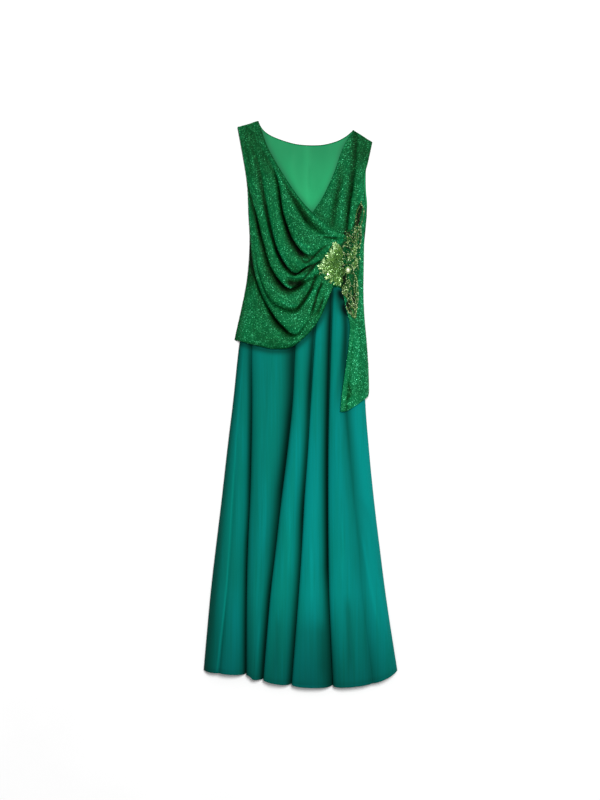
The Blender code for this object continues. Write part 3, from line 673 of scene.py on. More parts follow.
cascade = {
    "rows": [
        down((131, 124, 113, 119, 130, 129, 121, 111), 105, -20, (0.5, 0.6, 0.5), 0, 5, 0.0, noDark, cascadeStations),
        down((138, 134, 129, 134, 140, 139, 134, 126), 122, -18, (0.2, 0.2, 0.55), 6, 4, 1.0, (0.5, 6, 3),
             cascadeStations),
        down((154, 150, 148, 152, 155, 158, 160, 159), 152, 0, (0.3, 0.35, 0.15), 12, 12, 0.0, (0.6, 9, 9),
             cascadeStations),
        down((169, 168, 167, 168, 171, 175, 180, 182), 180, 20, (0.7, 0.7, 0.7), 6, 0, 0.0, noDark, cascadeStations),
    ],
    "crest": (2.0, 3.0, 4.0, 5.0, 6.0, 7.0, 7.0, 6.0, 5.0), "lipCrest": 6.0, "along": 140, "acrossSteps": 20,
    "rim": 0.1, "edgePowers": (1.5, 1.5), "squint": 1.0,
    "wrinkle": 0.5, "wrinkleRun": 6.0, "wrinkleRows": 0.15, "rippleShade": 0.08, "seed": 71,
    # how much painted light it takes over the rest of the jersey, how high it lies on the wrap, and from where up
    "paintedLight": 1.25, "onWrap": 11.8, "onWrapUp": (waist - 30, 30),
    "creases": [
        crease([(126, 60), (131, 30), (121, 6)], -2.0, 5, 0.5),
        crease([(160, 200), (150, 110), (146, 30)], 1.5, 6, -0.1),
    ],
}


# the shadows on the skirt: line, strength, reach, fading at the ends, and how far each is moved
skirtShadows = [
    # below the tunic's hem, and left of the cascade
    (drape["rows"][-1]["line"], 0.5, 8, (0.02, 0.02), (0, -6)),
    ([place for place in cascade["rows"][0]["line"] if place[1] < 360], 0.5, 10, (0.05, 0.4), (-9, 0)),
    # beside the motif's lower spray and its fan
    ([(104, 308), (106, 288), (120, 273), (114, 256), (120, 241), (132, 226)], 0.88, 6.5, (0.1, 0.2)),
    ([(84, 320), (96, 302), (104, 272), (106, 232)], 0.42, 15, (0.05, 0.4)),
]


# moves the cloth up or down along each crease, and paints shade along it, or light where its dark is below 0
def creased(cloth, plan, top, shade):
    for mark in cloth["creases"]:
        share = trough(plan[..., 0], plan[..., 1], mark["line"], mark["reach"], mark["fade"], mark["crisp"])
        top = top + mark["height"] * share
        shade = shade * (1 - mark["dark"] * share)
    return top, shade


# a jersey cloth with its small wrinkles and its creases
def folded(cloth):
    plan, height, fold, shade, share = loft(cloth)
    small = wrinkles(height.shape, share, cloth)
    height = height + cloth["wrinkle"] * small * fold
    # painted shade and light that follow the small wrinkles
    height, shade = creased(cloth, plan, height, shade * (1 + cloth["rippleShade"] * small))
    return plan, np.clip(height, 0, None), shade


# the top of the skirt's back, which lies over the tunic's back above the tunic's hem
def skirtFloor(y):
    rise = rising(y, *hemStep)
    return backTop + overTunic * rise * rise * (3 - 2 * rise)


def skirtEdge(row, y):
    line = skirt["rows"][row]["line"][::-1]
    return np.interp(y, [place[1] for place in line], [place[0] for place in line])


# the height below which the skirt's folds stay, for what lies on them
def skirtEnvelope(x, y):
    keys = [place[1] for place in skirt["rows"][0]["line"]][::-1]
    inside = np.minimum(x - skirtEdge(0, y), skirtEdge(-1, y) - x)
    fromEdge = np.clip(inside + skirt["envelopeEdge"], 0, None)
    crest = np.interp(y, keys, skirt["crest"][::-1]) * (1 - np.exp(-fromEdge / skirt["envelopeReach"]))
    return skirtFloor(y) + skirt["envelope"] + np.where(y > skirt["envelopeTop"], 0, crest)


def makeSkirtFront(finish):
    plan, height, fold, shade, share = loft(skirt)
    plan[..., 1] -= skirt["hemScallop"] * rising(share, *skirt["scallops"]) ** 2 * (fold - 0.5)
    x, y = plan[..., 0], plan[..., 1]
    small = wrinkles(height.shape, share, skirt)
    lowest = skirtFloor(y) + skirt["lift"] + wall
    # painted shade and light that follow the small wrinkles
    bent, shade = creased(skirt, plan, np.zeros(height.shape), shade * (1 + skirt["rippleShade"] * small))
    top = lowest + height + skirt["wrinkle"] * small * fold * rising(height, 0, skirt["wrinkledFrom"])
    top = np.maximum(top + bent * rising(height, 0, skirt["creasedFrom"]), lowest)
    for shadow in skirtShadows:
        shade = darkened(shade, x, y, *shadow)
    # the rolled hem carries a painted highlight, and its seam a darker line
    hem, fromHem = skirt["rolledHem"], (1 - share) * skirt["length"]
    seam = np.exp(-(((fromHem - hem["seamAt"]) / hem["seamReach"]) ** 2))
    shade = shade * (1 + hem["light"] * (fromHem < hem["wide"]) - hem["seamDark"] * seam)
    piece = layCloth("skirtFront", "skirt_front", plan, top, shade, finish, wall)


skirtBack = {
    "inset": 1.5, "columns": 60, "bow": 34, "bowFrom": -600, "hem": -690,
    # its lines lie closer together where it steps up over the tunic's hem
    "lines": [(skirtTop, tunicHem + 2, 30), (tunicHem - 1, tunicHem - 23, 14), (tunicHem - 30, -690, 90)],
}


def makeSkirtBack(finish):
    y = np.concatenate([np.linspace(*lines) for lines in skirtBack["lines"]])[:, None]
    share = np.linspace(0, 1, skirtBack["columns"])
    left, right = skirtEdge(0, y) + skirtBack["inset"], skirtEdge(-1, y) - skirtBack["inset"]
    nearHem = rising(y, skirtBack["bowFrom"], skirtBack["hem"] - skirtBack["bowFrom"])
    bow = skirtBack["bow"] * nearHem**2 * (1 - (2 * share - 1) ** 2)
    plan = np.stack([left + (right - left) * share, y - bow], axis=2)
    top = skirtFloor(np.broadcast_to(y, plan.shape[:2]))
    piece = layCloth("skirtBack", "skirt_back", plan, top, np.ones(top.shape), finish, backWall)


def makeDrape(finish):
    plan, height, shade = folded(drape)
    x, y = plan[..., 0], plan[..., 1]
    fromSide = x - plan[:, :1, 0]
    overWrap = rising(x, *drape["wrapAcross"]) * rising(y, *drape["wrapDown"])
    bodice = frontSeam + 0.2 + drape["overWrap"] * overWrap
    onSkirt = np.maximum(skirtEnvelope(x, y) + seamGap + wall, bodice)
    belowWaist = rising(y, *drape["skirtDown"])
    bed = bodice * (1 - belowWaist) + onSkirt * belowWaist
    # the side edge comes down to the seam with the back
    sideLow = np.where(y > waist, frontSeam, frontSeam - drape["sideDrop"])
    upper = levels(len(drape["rows"]), drape["acrossSteps"])[:, None] < drape["corner"]
    rise = np.where(upper, 1.0, 1 - np.exp(-np.clip(fromSide, 0, None) / drape["sideReach"]))
    top = sideLow + (bed + height - sideLow) * rise
    top = np.maximum(top, bedUnder(x, y) + wall + seamGap)
    # painted shade along the side edge, where it rolls down to the back
    nearSide = np.exp(-((fromSide / drape["sideReach"]) ** 2)) * rising(y, *drape["sideDarkDown"])
    shade = shade * (1 - drape["sideDark"] * nearSide)
    return layCloth("bodiceDrape", "bodice_front_drape", plan, top, shade, finish, wall)


def makeUnderWrap(finish):
    plan, height, shade = folded(underWrap)
    shade = darkened(shade, plan[..., 0], plan[..., 1], drape["rows"][0]["line"], **underWrap["neckShadow"])
    top = frontSeam + height
    return layCloth("bodiceUnder", "bodice_front_under", plan, top, shade, finish, wall)


def makeCascade(finish):
    plan, height, shade = folded(cascade)
    x, y = plan[..., 0], plan[..., 1]
    aboveWaist = rising(y, *cascade["onWrapUp"])
    bed = (skirtEnvelope(x, y) + seamGap + wall) * (1 - aboveWaist) + cascade["onWrap"] * aboveWaist
    top = np.maximum(bed + height, bedUnder(x, y) + wall + seamGap)
    # painted light: the cascade is lit more than the rest of the jersey
    shade = shade * cascade["paintedLight"]
    return layCloth("sideCascade", "side_cascade", plan, top, shade, finish, wall)


# the back of the bodice: left and right points of its sides as y and x, and the points of its neckline
backSides = [
    (735, -166, 695, 189), (674, -150, 661, 181), (595, -142, 621, 174), (542, -139, 568, 174), (490, -136, 529, 177),
    (436, -134, 476, 174), (356, -137, 410, 168), (303, -145, 345, 165), (237, -158, 270, 166), (168, -173, 168, 170),
]
backNeck = [(-112, 751), (-101, 731), (-80, 714), (-40, 698), (0, 689), (53, 688), (93, 697), (119, 710), (140, 727)]
backs = {
    "columns": 90, "lines": 130, "shoulder": 8, "backShade": 0.8,
    # the lining is cut smaller, and is darker below the back of the neck than at the point of the neckline
    "neckDrop": 2.2, "sideInset": 0.8, "liningTop": 2.9, "rippleShade": 0.04, "bumpRange": (-0.2, 0.6),
    "darkY": 672.0, "darkShade": 0.86, "lightY": 552.0, "lightShade": 1.17,
    # its soft bumps: height, width, length and seed; and the shadows of the fronts' neck edges
    "bumps": [(0.35, 34, 90, 91), (0.2, 12, 60, 92)], "neckShadows": (0.32, 0.24), "neckShadowReach": 9,
    "creases": [
        crease([(24, 640), (22, 600), (23, 560)], -0.5, 4, 0.1),
        crease([(-30, 660), (-20, 600), (0, 540)], 0.4, 9, -0.05),
        crease([(96, 660), (76, 600), (52, 540)], 0.4, 9, -0.06),
    ],
}


# a flat back piece: lines run across it from its left side to its right one, and bend up into the neckline
def backPlan(inset, drop, lowest):
    at = np.linspace(0, len(backSides) - 1, 200)
    share, part = np.linspace(0, 1, backs["lines"]), np.linspace(0, 1, backs["columns"])[:, None]
    sides = []
    for places in ([(s[1] + inset, s[0]) for s in backSides], [(s[3] - inset, s[2]) for s in backSides]):
        side = spline(places, at)
        y = side[0, 1] + (lowest - side[0, 1]) * share
        sides.append(np.stack([np.interp(y, side[::-1, 1], side[::-1, 0]), y], axis=1))
    left, right = sides
    shoulder = backs["shoulder"]
    neck = spline(backNeck, np.linspace(0, len(backNeck) - 1, backs["columns"] - 2 * shoulder)) - (0, drop)
    toNeck = np.linspace(left[0], neck[0], shoulder + 1)[:-1]
    fromNeck = np.linspace(neck[-1], right[0], shoulder + 1)[1:]
    bend = np.vstack([toNeck, neck, fromNeck]) - (left[0] + (right[0] - left[0]) * part)
    return np.array([a + (b - a) * part + bend * (1 - s) ** 2 for a, b, s in zip(left, right, share)])


def makeBacks(glitter, plain):
    plan = backPlan(0.0, 0.0, tunicHem)
    flat = np.full(plan.shape[:2], backTop)
    shade = np.full(flat.shape, backs["backShade"])
    back = layCloth("bodiceBack", "bodice_back", plan, flat, shade, glitter, backWall)
    plan = backPlan(backs["sideInset"], backs["neckDrop"], waist)
    x, y = plan[..., 0], plan[..., 1]
    soft = sum(size * softNoise(x / wide, y / long, seed) for size, wide, long, seed in backs["bumps"])
    top = backs["liningTop"] + np.clip(soft, *backs["bumpRange"])
    # painted shade and light that follow the soft bumps
    top, shade = creased(backs, plan, top, 1 + backs["rippleShade"] * soft)
    for cloth, strength in zip((drape, underWrap), backs["neckShadows"]):
        shade = darkened(shade, x, y, cloth["rows"][0]["line"], strength, backs["neckShadowReach"])
    shade = shade * np.interp(y, (backs["lightY"], backs["darkY"]), (backs["lightShade"], backs["darkShade"]))
    inner = layCloth("backLining", "back_lining", plan, top, shade, plain, liningWall)


# a Geometry Nodes tree in the making, with a named input for each of its sizes
class Growth:
    def __init__(self, name, sizes):
        self.tree = bpy.data.node_groups.new(name, "GeometryNodeTree")
        self.tree.interface.new_socket("Geometry", in_out="OUTPUT", socket_type="NodeSocketGeometry")
        self.start("Geometry", "NodeSocketGeometry")
        self.values = {}
        for key, value in sizes.items():
            made = self.start(key, "NodeSocketInt" if isinstance(value, int) else "NodeSocketFloat")
            self.values[made.identifier] = value
        self.entry = self.tree.nodes.new("NodeGroupInput")

    def start(self, name, kind):
        return self.tree.interface.new_socket(name, in_out="INPUT", socket_type=kind)

    # a node whose inputs may also be given by the names of the tree's own inputs
    def node(self, kind, settings, inputs, output=0):
        own = self.entry.outputs
        named = {key: own[value] for key, value in inputs.items() if isinstance(value, str) and value in own}
        return addNode(self.tree, kind, settings, {**inputs, **named}).outputs[output]

    # points at random over the faces, kept apart
    def scatter(self, most, seed, **more):
        inputs = {"Mesh": "Geometry", "Distance Min": "apart", "Density Max": most, "Seed": seed, **more}
        return self.node("GeometryNodeDistributePointsOnFaces", {"distribute_method": "POISSON"}, inputs)

    def chance(self, low, high, seed):
        return self.node("FunctionNodeRandomValue", {"data_type": "FLOAT"}, {2: low, 3: high, "Seed": seed}, 1)

    # balls on points, between so small and so large
    def balls(self, points, facets, low, high):
        ball = self.node("GeometryNodeMeshIcoSphere", {}, {"Radius": "radius", "Subdivisions": facets})
        inputs = {"Points": points, "Instance": ball, "Scale": self.chance(low, high, 3)}
        return self.node("GeometryNodeInstanceOnPoints", {}, inputs)

    # gives each copy its own random tint, runs the tree on the object without its wall, and leaves a plain mesh
    def grow(self, base, name, finish, copies, tint):
        perCopy = {"data_type": "FLOAT", "domain": "INSTANCE"}
        inputs = {"Geometry": copies, "Name": "tint", "Value": tint}
        marked = self.node("GeometryNodeStoreNamedAttribute", perCopy, inputs)
        whole = self.node("GeometryNodeRealizeInstances", {}, {0: marked})
        done = self.node("GeometryNodeSetMaterial", {}, {"Geometry": whole, "Material": finish})
        self.tree.links.new(done, self.tree.nodes.new("NodeGroupOutput").inputs[0])
        walls = [modifier for modifier in base.modifiers if modifier.name == "wall"]
        for each in walls:
            each.show_viewport = each.show_render = False
        modifier = base.modifiers.new(name, "NODES")
        modifier.node_group = self.tree
        for identifier, value in self.values.items():
            modifier[identifier] = value
        graph = bpy.context.evaluated_depsgraph_get()
        grown = base.evaluated_get(graph)
        mesh = bpy.data.meshes.new_from_object(grown, preserve_all_data_layers=True, depsgraph=graph)
        base.modifiers.remove(modifier)
        for each in walls:
            each.show_viewport = each.show_render = True
        mesh.name = name
        print(name, "grown with", len(mesh.polygons), "faces")
        return inScene(name, mesh)


sequins = {"apart": 0.0021, "radius": 0.00096, "lift": 0.0004, "tilt": 0.34, "seed": 5}


def sewSequins(cloth, name, finish):
    g = Growth("sequins", sequins)
    fall = g.scatter(260000.0, "seed")
    back = g.node("ShaderNodeMath", {"operation": "MULTIPLY"}, {0: "tilt", 1: -1.0})
    low = g.node("ShaderNodeCombineXYZ", {}, {0: back, 1: back, 2: 0.0})
    high = g.node("ShaderNodeCombineXYZ", {}, {0: "tilt", 1: "tilt", 2: 6.28})
    lean = g.node("FunctionNodeRandomValue", {"data_type": "FLOAT_VECTOR"}, {0: low, 1: high, "Seed": 2})
    turn = {0: fall.node.outputs["Rotation"], 1: lean}
    leaning = g.node("FunctionNodeRotateRotation", {"rotation_space": "LOCAL"}, turn)
    disc = g.node("GeometryNodeMeshCircle", {"fill_type": "NGON"}, {"Vertices": 6, "Radius": "radius"})
    placed = g.node("GeometryNodeInstanceOnPoints", {}, {"Points": fall, "Instance": disc, "Rotation": leaning})
    up = g.node("ShaderNodeCombineXYZ", {}, {2: "lift"})
    lifted = g.node("GeometryNodeTranslateInstances", {}, {"Instances": placed, "Translation": up})
    return declare(g.grow(cloth, name, finish, lifted, g.chance(0.0, 1.0, 9)), None)


# a leaf of the motif: its stem and tip, half its width, how full it is of paillettes and how pale they are, how dark
# its net is, and whether it is bare of its beaded edge
def leaf(stem, tip, half, fill, tone, dark, bare=False):
    return {"stem": stem, "tip": tip, "half": half, "fill": fill, "tone": tone, "dark": dark, "bare": bare}


motif = {
    "outline": [
        (146, 226), (150, 262), (153, 290), (152, 327), (156, 356), (157, 409), (160, 441), (156, 473), (163, 507),
        (162, 538), (152, 522), (147, 500), (142, 480), (135, 464), (121, 459), (114, 434), (101, 420), (87, 424),
        (75, 407), (63, 391), (46, 362), (58, 340), (73, 325), (90, 312), (108, 306), (110, 293), (119, 283),
        (126, 272), (120, 261), (124, 247), (134, 233),
    ],
    "step": 3.0, "low": (40, 224), "high": (166, 541), "above": 0.7, "swell": 1.4, "netWall": 0.4,
    # its painted shade where it is flat, how much painted light it takes where it swells, and the painted shade in
    # the gap and beside the strings
    "flatShade": 0.58, "swellLight": 0.3, "gapDark": 0.85,
    "stringShadow": {"strength": 0.45, "reach": 3.0, "fade": (0.05, 0.05), "moved": (-2.5, 0)},
    "gap": [(113, 378), (114, 355), (116, 332), (110, 300)],
    # each petal: its tip, and half its width
    "petals": [
        (89, 426, 11), (79, 408, 9), (69, 396, 11), (58, 378, 9), (46, 362, 10), (57, 346, 9), (66, 333, 10),
        (78, 322, 9), (91, 314, 10), (103, 314, 8),
    ],
    "hub": (117, 370),
    "leaves": [
        leaf((142, 400), (124, 454), 8, 0.5, 0.25, 0.3),
        leaf((148, 430), (150, 486), 7, 0.35, 0.3, 0.2),
        leaf((152, 480), (160, 534), 7, 0.0, 0.0, 0.85, bare=True),
        leaf((132, 380), (149, 424), 8, 0.8, 0.6, 0.0),
        leaf((134, 356), (152, 384), 6, 1.0, 0.8, 0.0),
        leaf((146, 340), (149, 250), 6, 0.0, 0.0, 0.2),
        leaf((128, 330), (118, 288), 8, 0.6, 0.45, 0.4),
        leaf((125, 296), (137, 254), 7, 0.4, 0.35, 0.4),
        leaf((132, 262), (144, 232), 7, 0.5, 0.5, 0.3),
    ],
    "strings": [
        [(160, 531), (168, 514), (164, 486), (155, 465), (148, 448), (148, 435), (140, 431)],
        [(158, 527), (149, 507), (146, 484), (148, 470)],
        [(160, 470), (160, 431), (154, 418), (146, 408), (144, 392), (149, 375), (153, 358)],
        [(110, 408), (115, 421), (124, 430), (138, 431), (148, 426)], [(119, 457), (131, 448), (141, 438)],
        [(115, 401), (128, 392), (141, 388)], [(115, 368), (126, 370), (137, 365), (141, 355), (136, 344)],
        [(141, 348), (148, 332), (149, 315), (147, 296), (148, 276), (148, 256), (147, 228)],
        [(123, 346), (121, 332), (128, 319), (139, 312), (146, 296)],
        [(113, 314), (111, 302), (113, 291), (123, 282), (128, 271), (122, 259), (125, 247), (135, 235), (144, 227)],
        [(133, 302), (135, 282), (141, 266), (146, 249)], [(118, 296), (131, 290), (141, 282), (147, 272)],
        [(126, 252), (138, 256), (146, 249)], [(101, 422), (112, 404), (120, 384)],
    ],
    "bead": 0.0013, "beadApart": 0.0028, "threadLift": 1.0,
    "seedBead": 0.0009, "seedApart": 0.0068, "beadedFrom": 112, "sparseBelow": 310, "sparse": 0.35,
    # lines that carry loose beads: points, how many, how far they stray
    "cupBeads": [
        ([(144, 360), (149, 372), (147, 388)], 24, 3.0), ([(111, 388), (112, 362)], 5, 1.5),
        ([(114, 314), (111, 302), (114, 290), (125, 281)], 14, 1.6),
        ([(120, 262), (125, 247), (135, 235), (145, 228)], 9, 1.8), ([(114, 304), (124, 308), (134, 302)], 8, 3.0),
        ([(118, 418), (126, 426), (136, 432)], 14, 4.0), ([(134, 440), (142, 452), (148, 462)], 10, 4.0),
        ([(149, 296), (153, 292)], 5, 1.5), ([(124, 392), (138, 404), (146, 430)], 16, 6.0),
        ([(132, 282), (140, 262)], 8, 4.0), ([(118, 312), (122, 300)], 8, 4.0),
        ([(90, 424), (72, 398), (50, 362), (62, 336), (92, 313)], 24, 2.2), ([(158, 430), (156, 412)], 5, 1.5),
    ],
    # dark bugle beads: some are the motif's own dark beads, and some lie in its dark gaps in place of shade
    "bugles": [
        ([(149, 474), (155, 500), (161, 529)], 70, 3.4), ([(112, 376), (114, 350), (113, 322)], 30, 2.2),
        ([(118, 458), (130, 448), (140, 440)], 22, 4.0), ([(132, 410), (140, 436), (150, 456)], 9, 6.0),
        ([(120, 304), (128, 276), (124, 262), (134, 242)], 52, 3.2), ([(140, 300), (142, 262)], 16, 2.4),
        ([(122, 424), (136, 414)], 10, 5.0),
    ],
}


def insideOutline(x, y, outline):
    points = np.asarray(outline, float)
    inside = np.zeros(np.shape(x), bool)
    for (ax, ay), (bx, by) in zip(points, np.roll(points, -1, axis=0)):
        rise = by - ay if by != ay else 1e-9
        inside ^= ((ay > y) != (by > y)) & (x < (bx - ax) * (y - ay) / rise + ax)
    return inside


def motifHeight(x, y):
    return bedUnder(np.asarray(x, float), np.asarray(y, float), 1, 3) + motif["above"]


# how far the net swells over a petal or leaf, from 0 to 1
def motifRelief(x, y):
    most = np.zeros(np.shape(x))
    lines = [(blade["stem"], blade["tip"], blade["half"]) for blade in motif["leaves"]]
    for (sx, sy), (tx, ty), half in lines + [(motif["hub"], petal[:2], petal[2]) for petal in motif["petals"]]:
        rx, ry = tx - sx, ty - sy
        share = np.clip(((x - sx) * rx + (y - sy) * ry) / (rx * rx + ry * ry), 0, 1)
        away = np.hypot(x - sx - share * rx, y - sy - share * ry)
        most = np.maximum(most, 1 - (away / half) ** 2)
    return most


def motifTop(x, y):
    return motifHeight(x, y) + motif["swell"] * motifRelief(x, y)


def makeNet(finish):
    step, points = motif["step"], motif["outline"]
    outline = spline(points[-1:] + points + points[:2], np.linspace(1, len(points) + 1, 240))[:-1]
    (left, low), (right, high) = motif["low"], motif["high"]
    xs, ys = np.meshgrid(np.arange(left, right, step), np.arange(low, high, step))
    xs = xs + (np.arange(len(ys)) % 2)[:, None] * step / 2
    nearEdge = np.min([np.hypot(xs - px, ys - py) for px, py in outline], axis=0)
    keep = insideOutline(xs, ys, outline) & (nearEdge > 0.5 * step)
    places = [Vector(place) for place in (*outline, *np.stack([xs[keep], ys[keep]], axis=1))]
    ring = list(range(len(outline)))
    made, _, faces, _, _, _ = mathutils.geometry.delaunay_2d_cdt(places, [], [ring], 1, 1e-4)
    plan = np.array([tuple(place) for place in made])
    x, y = plan[:, 0], plan[:, 1]
    # the gap between the fan and the twigs has painted shade and few beads
    gap = trough(x, y, motif["gap"], 6, (0.1, 0.1))
    beaded = np.where(y < motif["sparseBelow"], motif["sparse"], 1.0)
    dense = np.where(x > motif["beadedFrom"], beaded, 0.0) * (1 - gap)
    shade = (motif["flatShade"] + motif["swellLight"] * motifRelief(x, y)) * (1 - motif["gapDark"] * gap)
    for line in motif["strings"]:
        shade = darkened(shade, x, y, line, **motif["stringShadow"])
    for blade in motif["leaves"]:
        line, reach = [blade["stem"], blade["tip"]], 0.7 * blade["half"]
        shade = darkened(shade, x, y, line, blade["dark"], reach, (0.15, 0.15))
    points = np.column_stack([plan, motifTop(x, y)])
    piece = meshPiece("motifNet", points, [list(face) for face in faces], finish, {"shade": shade, "dense": dense})
    if sum(face.normal.z for face in piece.data.polygons) < 0:
        piece.data.flip_normals()
    addWall(piece, motif["netWall"])
    return declare(piece, "motif_mat")


# many copies of one small shape as one mesh, each at its place, turned and leaning, with its own tint
def joined(name, shape, shapeFaces, places, finish):
    shape = np.asarray(shape, float)
    points, faces, tints = [], [], []
    for x, y, z, turn, lean, roll, size, tint in places:
        turned = Euler((roll, -lean, turn), "XYZ").to_matrix()
        faces += [[v + len(points) * len(shape) for v in face] for face in shapeFaces]
        points.append((shape * size) @ np.array(turned).T + (x, y, z))
        tints += [tint] * len(shape)
    piece = meshPiece(name, np.concatenate(points), faces, finish, {"tint": tints}, smooth=False)
    return declare(piece, None)


# paillettes of the fan's petals and of the leaves: their size, their step along a petal, and some loose ones between,
# whose leans and rolls are given as a mean and a spread
fan = {
    "long": 9.5, "wide": 4.8, "dish": 0.9, "step": 3.3, "first": 9.0, "tone": 0.75, "lowTone": 0.5, "lowBelow": 330,
    "loose": 70, "away": (14, 58), "angles": (105, 258), "rightMost": 108, "lift": 3.4, "paler": 0.011,
    "turnStray": 0.6, "leans": (0.1, 0.25), "rolls": (0, 0.35), "sizes": (0.5, 0.85), "tints": (0.0, 0.3),
}
leaves = {
    "long": 7.5, "wide": 3.8, "dish": 0.6, "step": 3.6, "first": 3.0,
    "loose": 40, "centre": (140, 392), "stray": (8, 12), "lift": 2.6, "clearOf": (125, 355), "clear": 13,
    "leans": (0.1, 0.25), "rolls": (0, 0.3), "sizes": (0.4, 0.75), "tints": (0.3, 1.0),
}
# how a pair is set: its height over the net, the half width at which it has its full size, its splay and its spreads
pairs = {
    "lift": 2.4, "usualHalf": 8.5, "splay": 0.25, "splayMore": 0.75, "splayStray": 0.12,
    "lean": 0.12, "leanStray": 0.16, "rollStray": 0.3, "sizes": (0.85, 1.15), "tints": (-0.25, 0.35),
}


# a paillette: a dished drop shape with its narrow end at its place
def dropShape(look):
    shape = []
    for a in (2 * math.pi * k / 12 for k in range(12)):
        out = 0.5 - 0.5 * math.cos(a)
        y = look["wide"] / 2 * math.sin(a) * (0.45 + 0.7 * out)
        shape.append((look["long"] * out, y, look["dish"] * math.sin(a) ** 2))
    shape.append((look["long"] * 0.55, 0, 0))
    return shape, [[k, (k + 1) % 12, 12] for k in range(12)]


# pairs of paillettes like a feather from a stem to a tip, for one petal or leaf
def feather(stem, tip, half, look, tone, fill):
    ahead = (tip[0] - stem[0], tip[1] - stem[1])
    length, heading = math.hypot(*ahead), math.atan2(ahead[1], ahead[0])
    places = []
    for number in range(int((length - look["first"]) / look["step"])):
        share = (look["first"] + number * look["step"]) / length
        wide = math.sin(math.pi * min(1.0, 0.12 + 0.86 * share) ** 1.3)
        for side in (-1, 1):
            if random.random() > fill:
                continue
            x, y = stem[0] + ahead[0] * share, stem[1] + ahead[1] * share
            splay = pairs["splay"] + pairs["splayMore"] * wide
            turn = heading + side * splay + random.gauss(0, pairs["splayStray"])
            size = (0.45 + 0.55 * wide) * half / pairs["usualHalf"] * random.uniform(*pairs["sizes"])
            z = float(motifHeight(x, y)) + pairs["lift"] + 0.16 * half * (1 - share)
            tint = min(1.0, max(0.0, tone * (0.16 + 1.3 * share * share) + random.uniform(*pairs["tints"])))
            lean, roll = pairs["lean"] + random.gauss(0, pairs["leanStray"]), random.gauss(0, pairs["rollStray"])
            places.append((x, y, z, turn, lean, roll, size, tint))
    return places


def loosePlace(x, y, turn, look, paler=0.0):
    lean, roll, size = random.gauss(*look["leans"]), random.gauss(*look["rolls"]), random.uniform(*look["sizes"])
    z = float(motifHeight(x, y)) + look["lift"]
    return x, y, z, turn, lean, roll, size, random.uniform(*look["tints"]) + paler


def makePaillettes(finish):
    random.seed(21)
    hubX, hubY = motif["hub"]
    places = []
    for x, y, half in motif["petals"]:
        tone = fan["tone"] if y > fan["lowBelow"] else fan["lowTone"]
        places += feather(motif["hub"], (x, y), half, fan, tone, 1.0)
    for _ in range(fan["loose"]):
        away, angle = random.uniform(*fan["away"]), math.radians(random.uniform(*fan["angles"]))
        x, y = hubX + away * math.cos(angle), hubY + away * math.sin(angle)
        if insideOutline(x, y, motif["outline"]) and x < fan["rightMost"]:
            turn = angle + random.gauss(0, fan["turnStray"])
            places.append(loosePlace(x, y, turn, fan, fan["paler"] * away))
    made = [joined("fanPaillettes", *dropShape(fan), places, finish)]
    places = []
    for blade in motif["leaves"]:
        places += feather(blade["stem"], blade["tip"], blade["half"], leaves, blade["tone"], blade["fill"])
    for _ in range(leaves["loose"]):
        x, y = (random.gauss(*spread) for spread in zip(leaves["centre"], leaves["stray"]))
        clear = math.dist((x, y), leaves["clearOf"]) > leaves["clear"]
        if insideOutline(x, y, motif["outline"]) and clear:
            places.append(loosePlace(x, y, random.uniform(0, 6.3), leaves))
    return made + [joined("leafPaillettes", *dropShape(leaves), places, finish)]


# the threads that beads are strung on: the twigs, and the edges of the leaves
def makeThreads():
    lines = [spline(line, np.linspace(0, len(line) - 1, 30)) for line in motif["strings"]]
    share = np.linspace(0, 1, 26)
    for blade in motif["leaves"]:
        if blade["bare"]:
            continue
        stem, ahead = np.array(blade["stem"]), np.subtract(blade["tip"], blade["stem"])
        aside = np.array([-ahead[1], ahead[0]]) / np.hypot(*ahead)
        out = blade["half"] * 0.85 * np.sin(np.pi * share ** 0.85) ** 0.8
        lines += [stem + ahead * share[:, None] + side * out[:, None] * aside for side in (-1, 1)]
    points, edges = [], []
    for line in lines:
        start = len(points)
        z = motifTop(line[:, 0], line[:, 1]) + motif["threadLift"]
        points += [(x, y, h) for (x, y), h in zip(line, z)]
        edges += [(start + k, start + k + 1) for k in range(len(line) - 1)]
    mesh = bpy.data.meshes.new("threads")
    mesh.from_pydata((np.array(points) * mm).tolist(), edges, [])
    return inScene("threads", mesh)


def strungBeads(finish):
    g = Growth("strungBeads", {"apart": motif["beadApart"], "radius": motif["bead"]})
    curve = g.node("GeometryNodeMeshToCurve", {}, {"Mesh": "Geometry"})
    marks = g.node("GeometryNodeResampleCurve", {"mode": "LENGTH"}, {"Curve": curve, "Length": "apart"})
    threads = makeThreads()
    beads = g.grow(threads, "beadStrings", finish, g.balls(marks, 2, 0.7, 1.2), g.chance(0.1, 1.1, 4))
    bpy.data.objects.remove(threads)
    return declare(beads, None)


def seedBeads(base, finish):
    g = Growth("seedBeads", {"apart": motif["seedApart"], "radius": motif["seedBead"]})
    dense = g.node("GeometryNodeInputNamedAttribute", {"data_type": "FLOAT"}, {"Name": "dense"})
    fall = g.scatter(150000.0, 8, **{"Density Factor": dense})
    beads = g.grow(base, "seedBeads", finish, g.balls(fall, 1, 0.7, 1.5), g.chance(0.0, 1.0, 6))
    return declare(beads, None)


def roundBead():
    work = bmesh.new()
    bmesh.ops.create_icosphere(work, subdivisions=2, radius=1.0)
    shape, faces = [tuple(v.co) for v in work.verts], [[v.index for v in face.verts] for face in work.faces]
    work.free()
    return shape, faces


# a bugle bead: a short six-sided tube along x
def bugleBead():
    ring = [(math.cos(math.pi * k / 3), math.sin(math.pi * k / 3)) for k in range(6)]
    shape = [(end, 0.3 * a, 0.3 * b) for end in (-1.0, 1.0) for a, b in ring]
    faces = [[k, (k + 1) % 6, (k + 1) % 6 + 6, k + 6] for k in range(6)]
    return shape, faces + [[5, 4, 3, 2, 1, 0], [6, 7, 8, 9, 10, 11]]


# how the loose beads stray: a share of their line's own, their turn and lean, their height and their size
stray = {"share": 0.6, "turn": 0.5, "lean": 0.2, "above": 0.7, "heights": (0, 1.2), "sizes": (0.7, 1.15)}


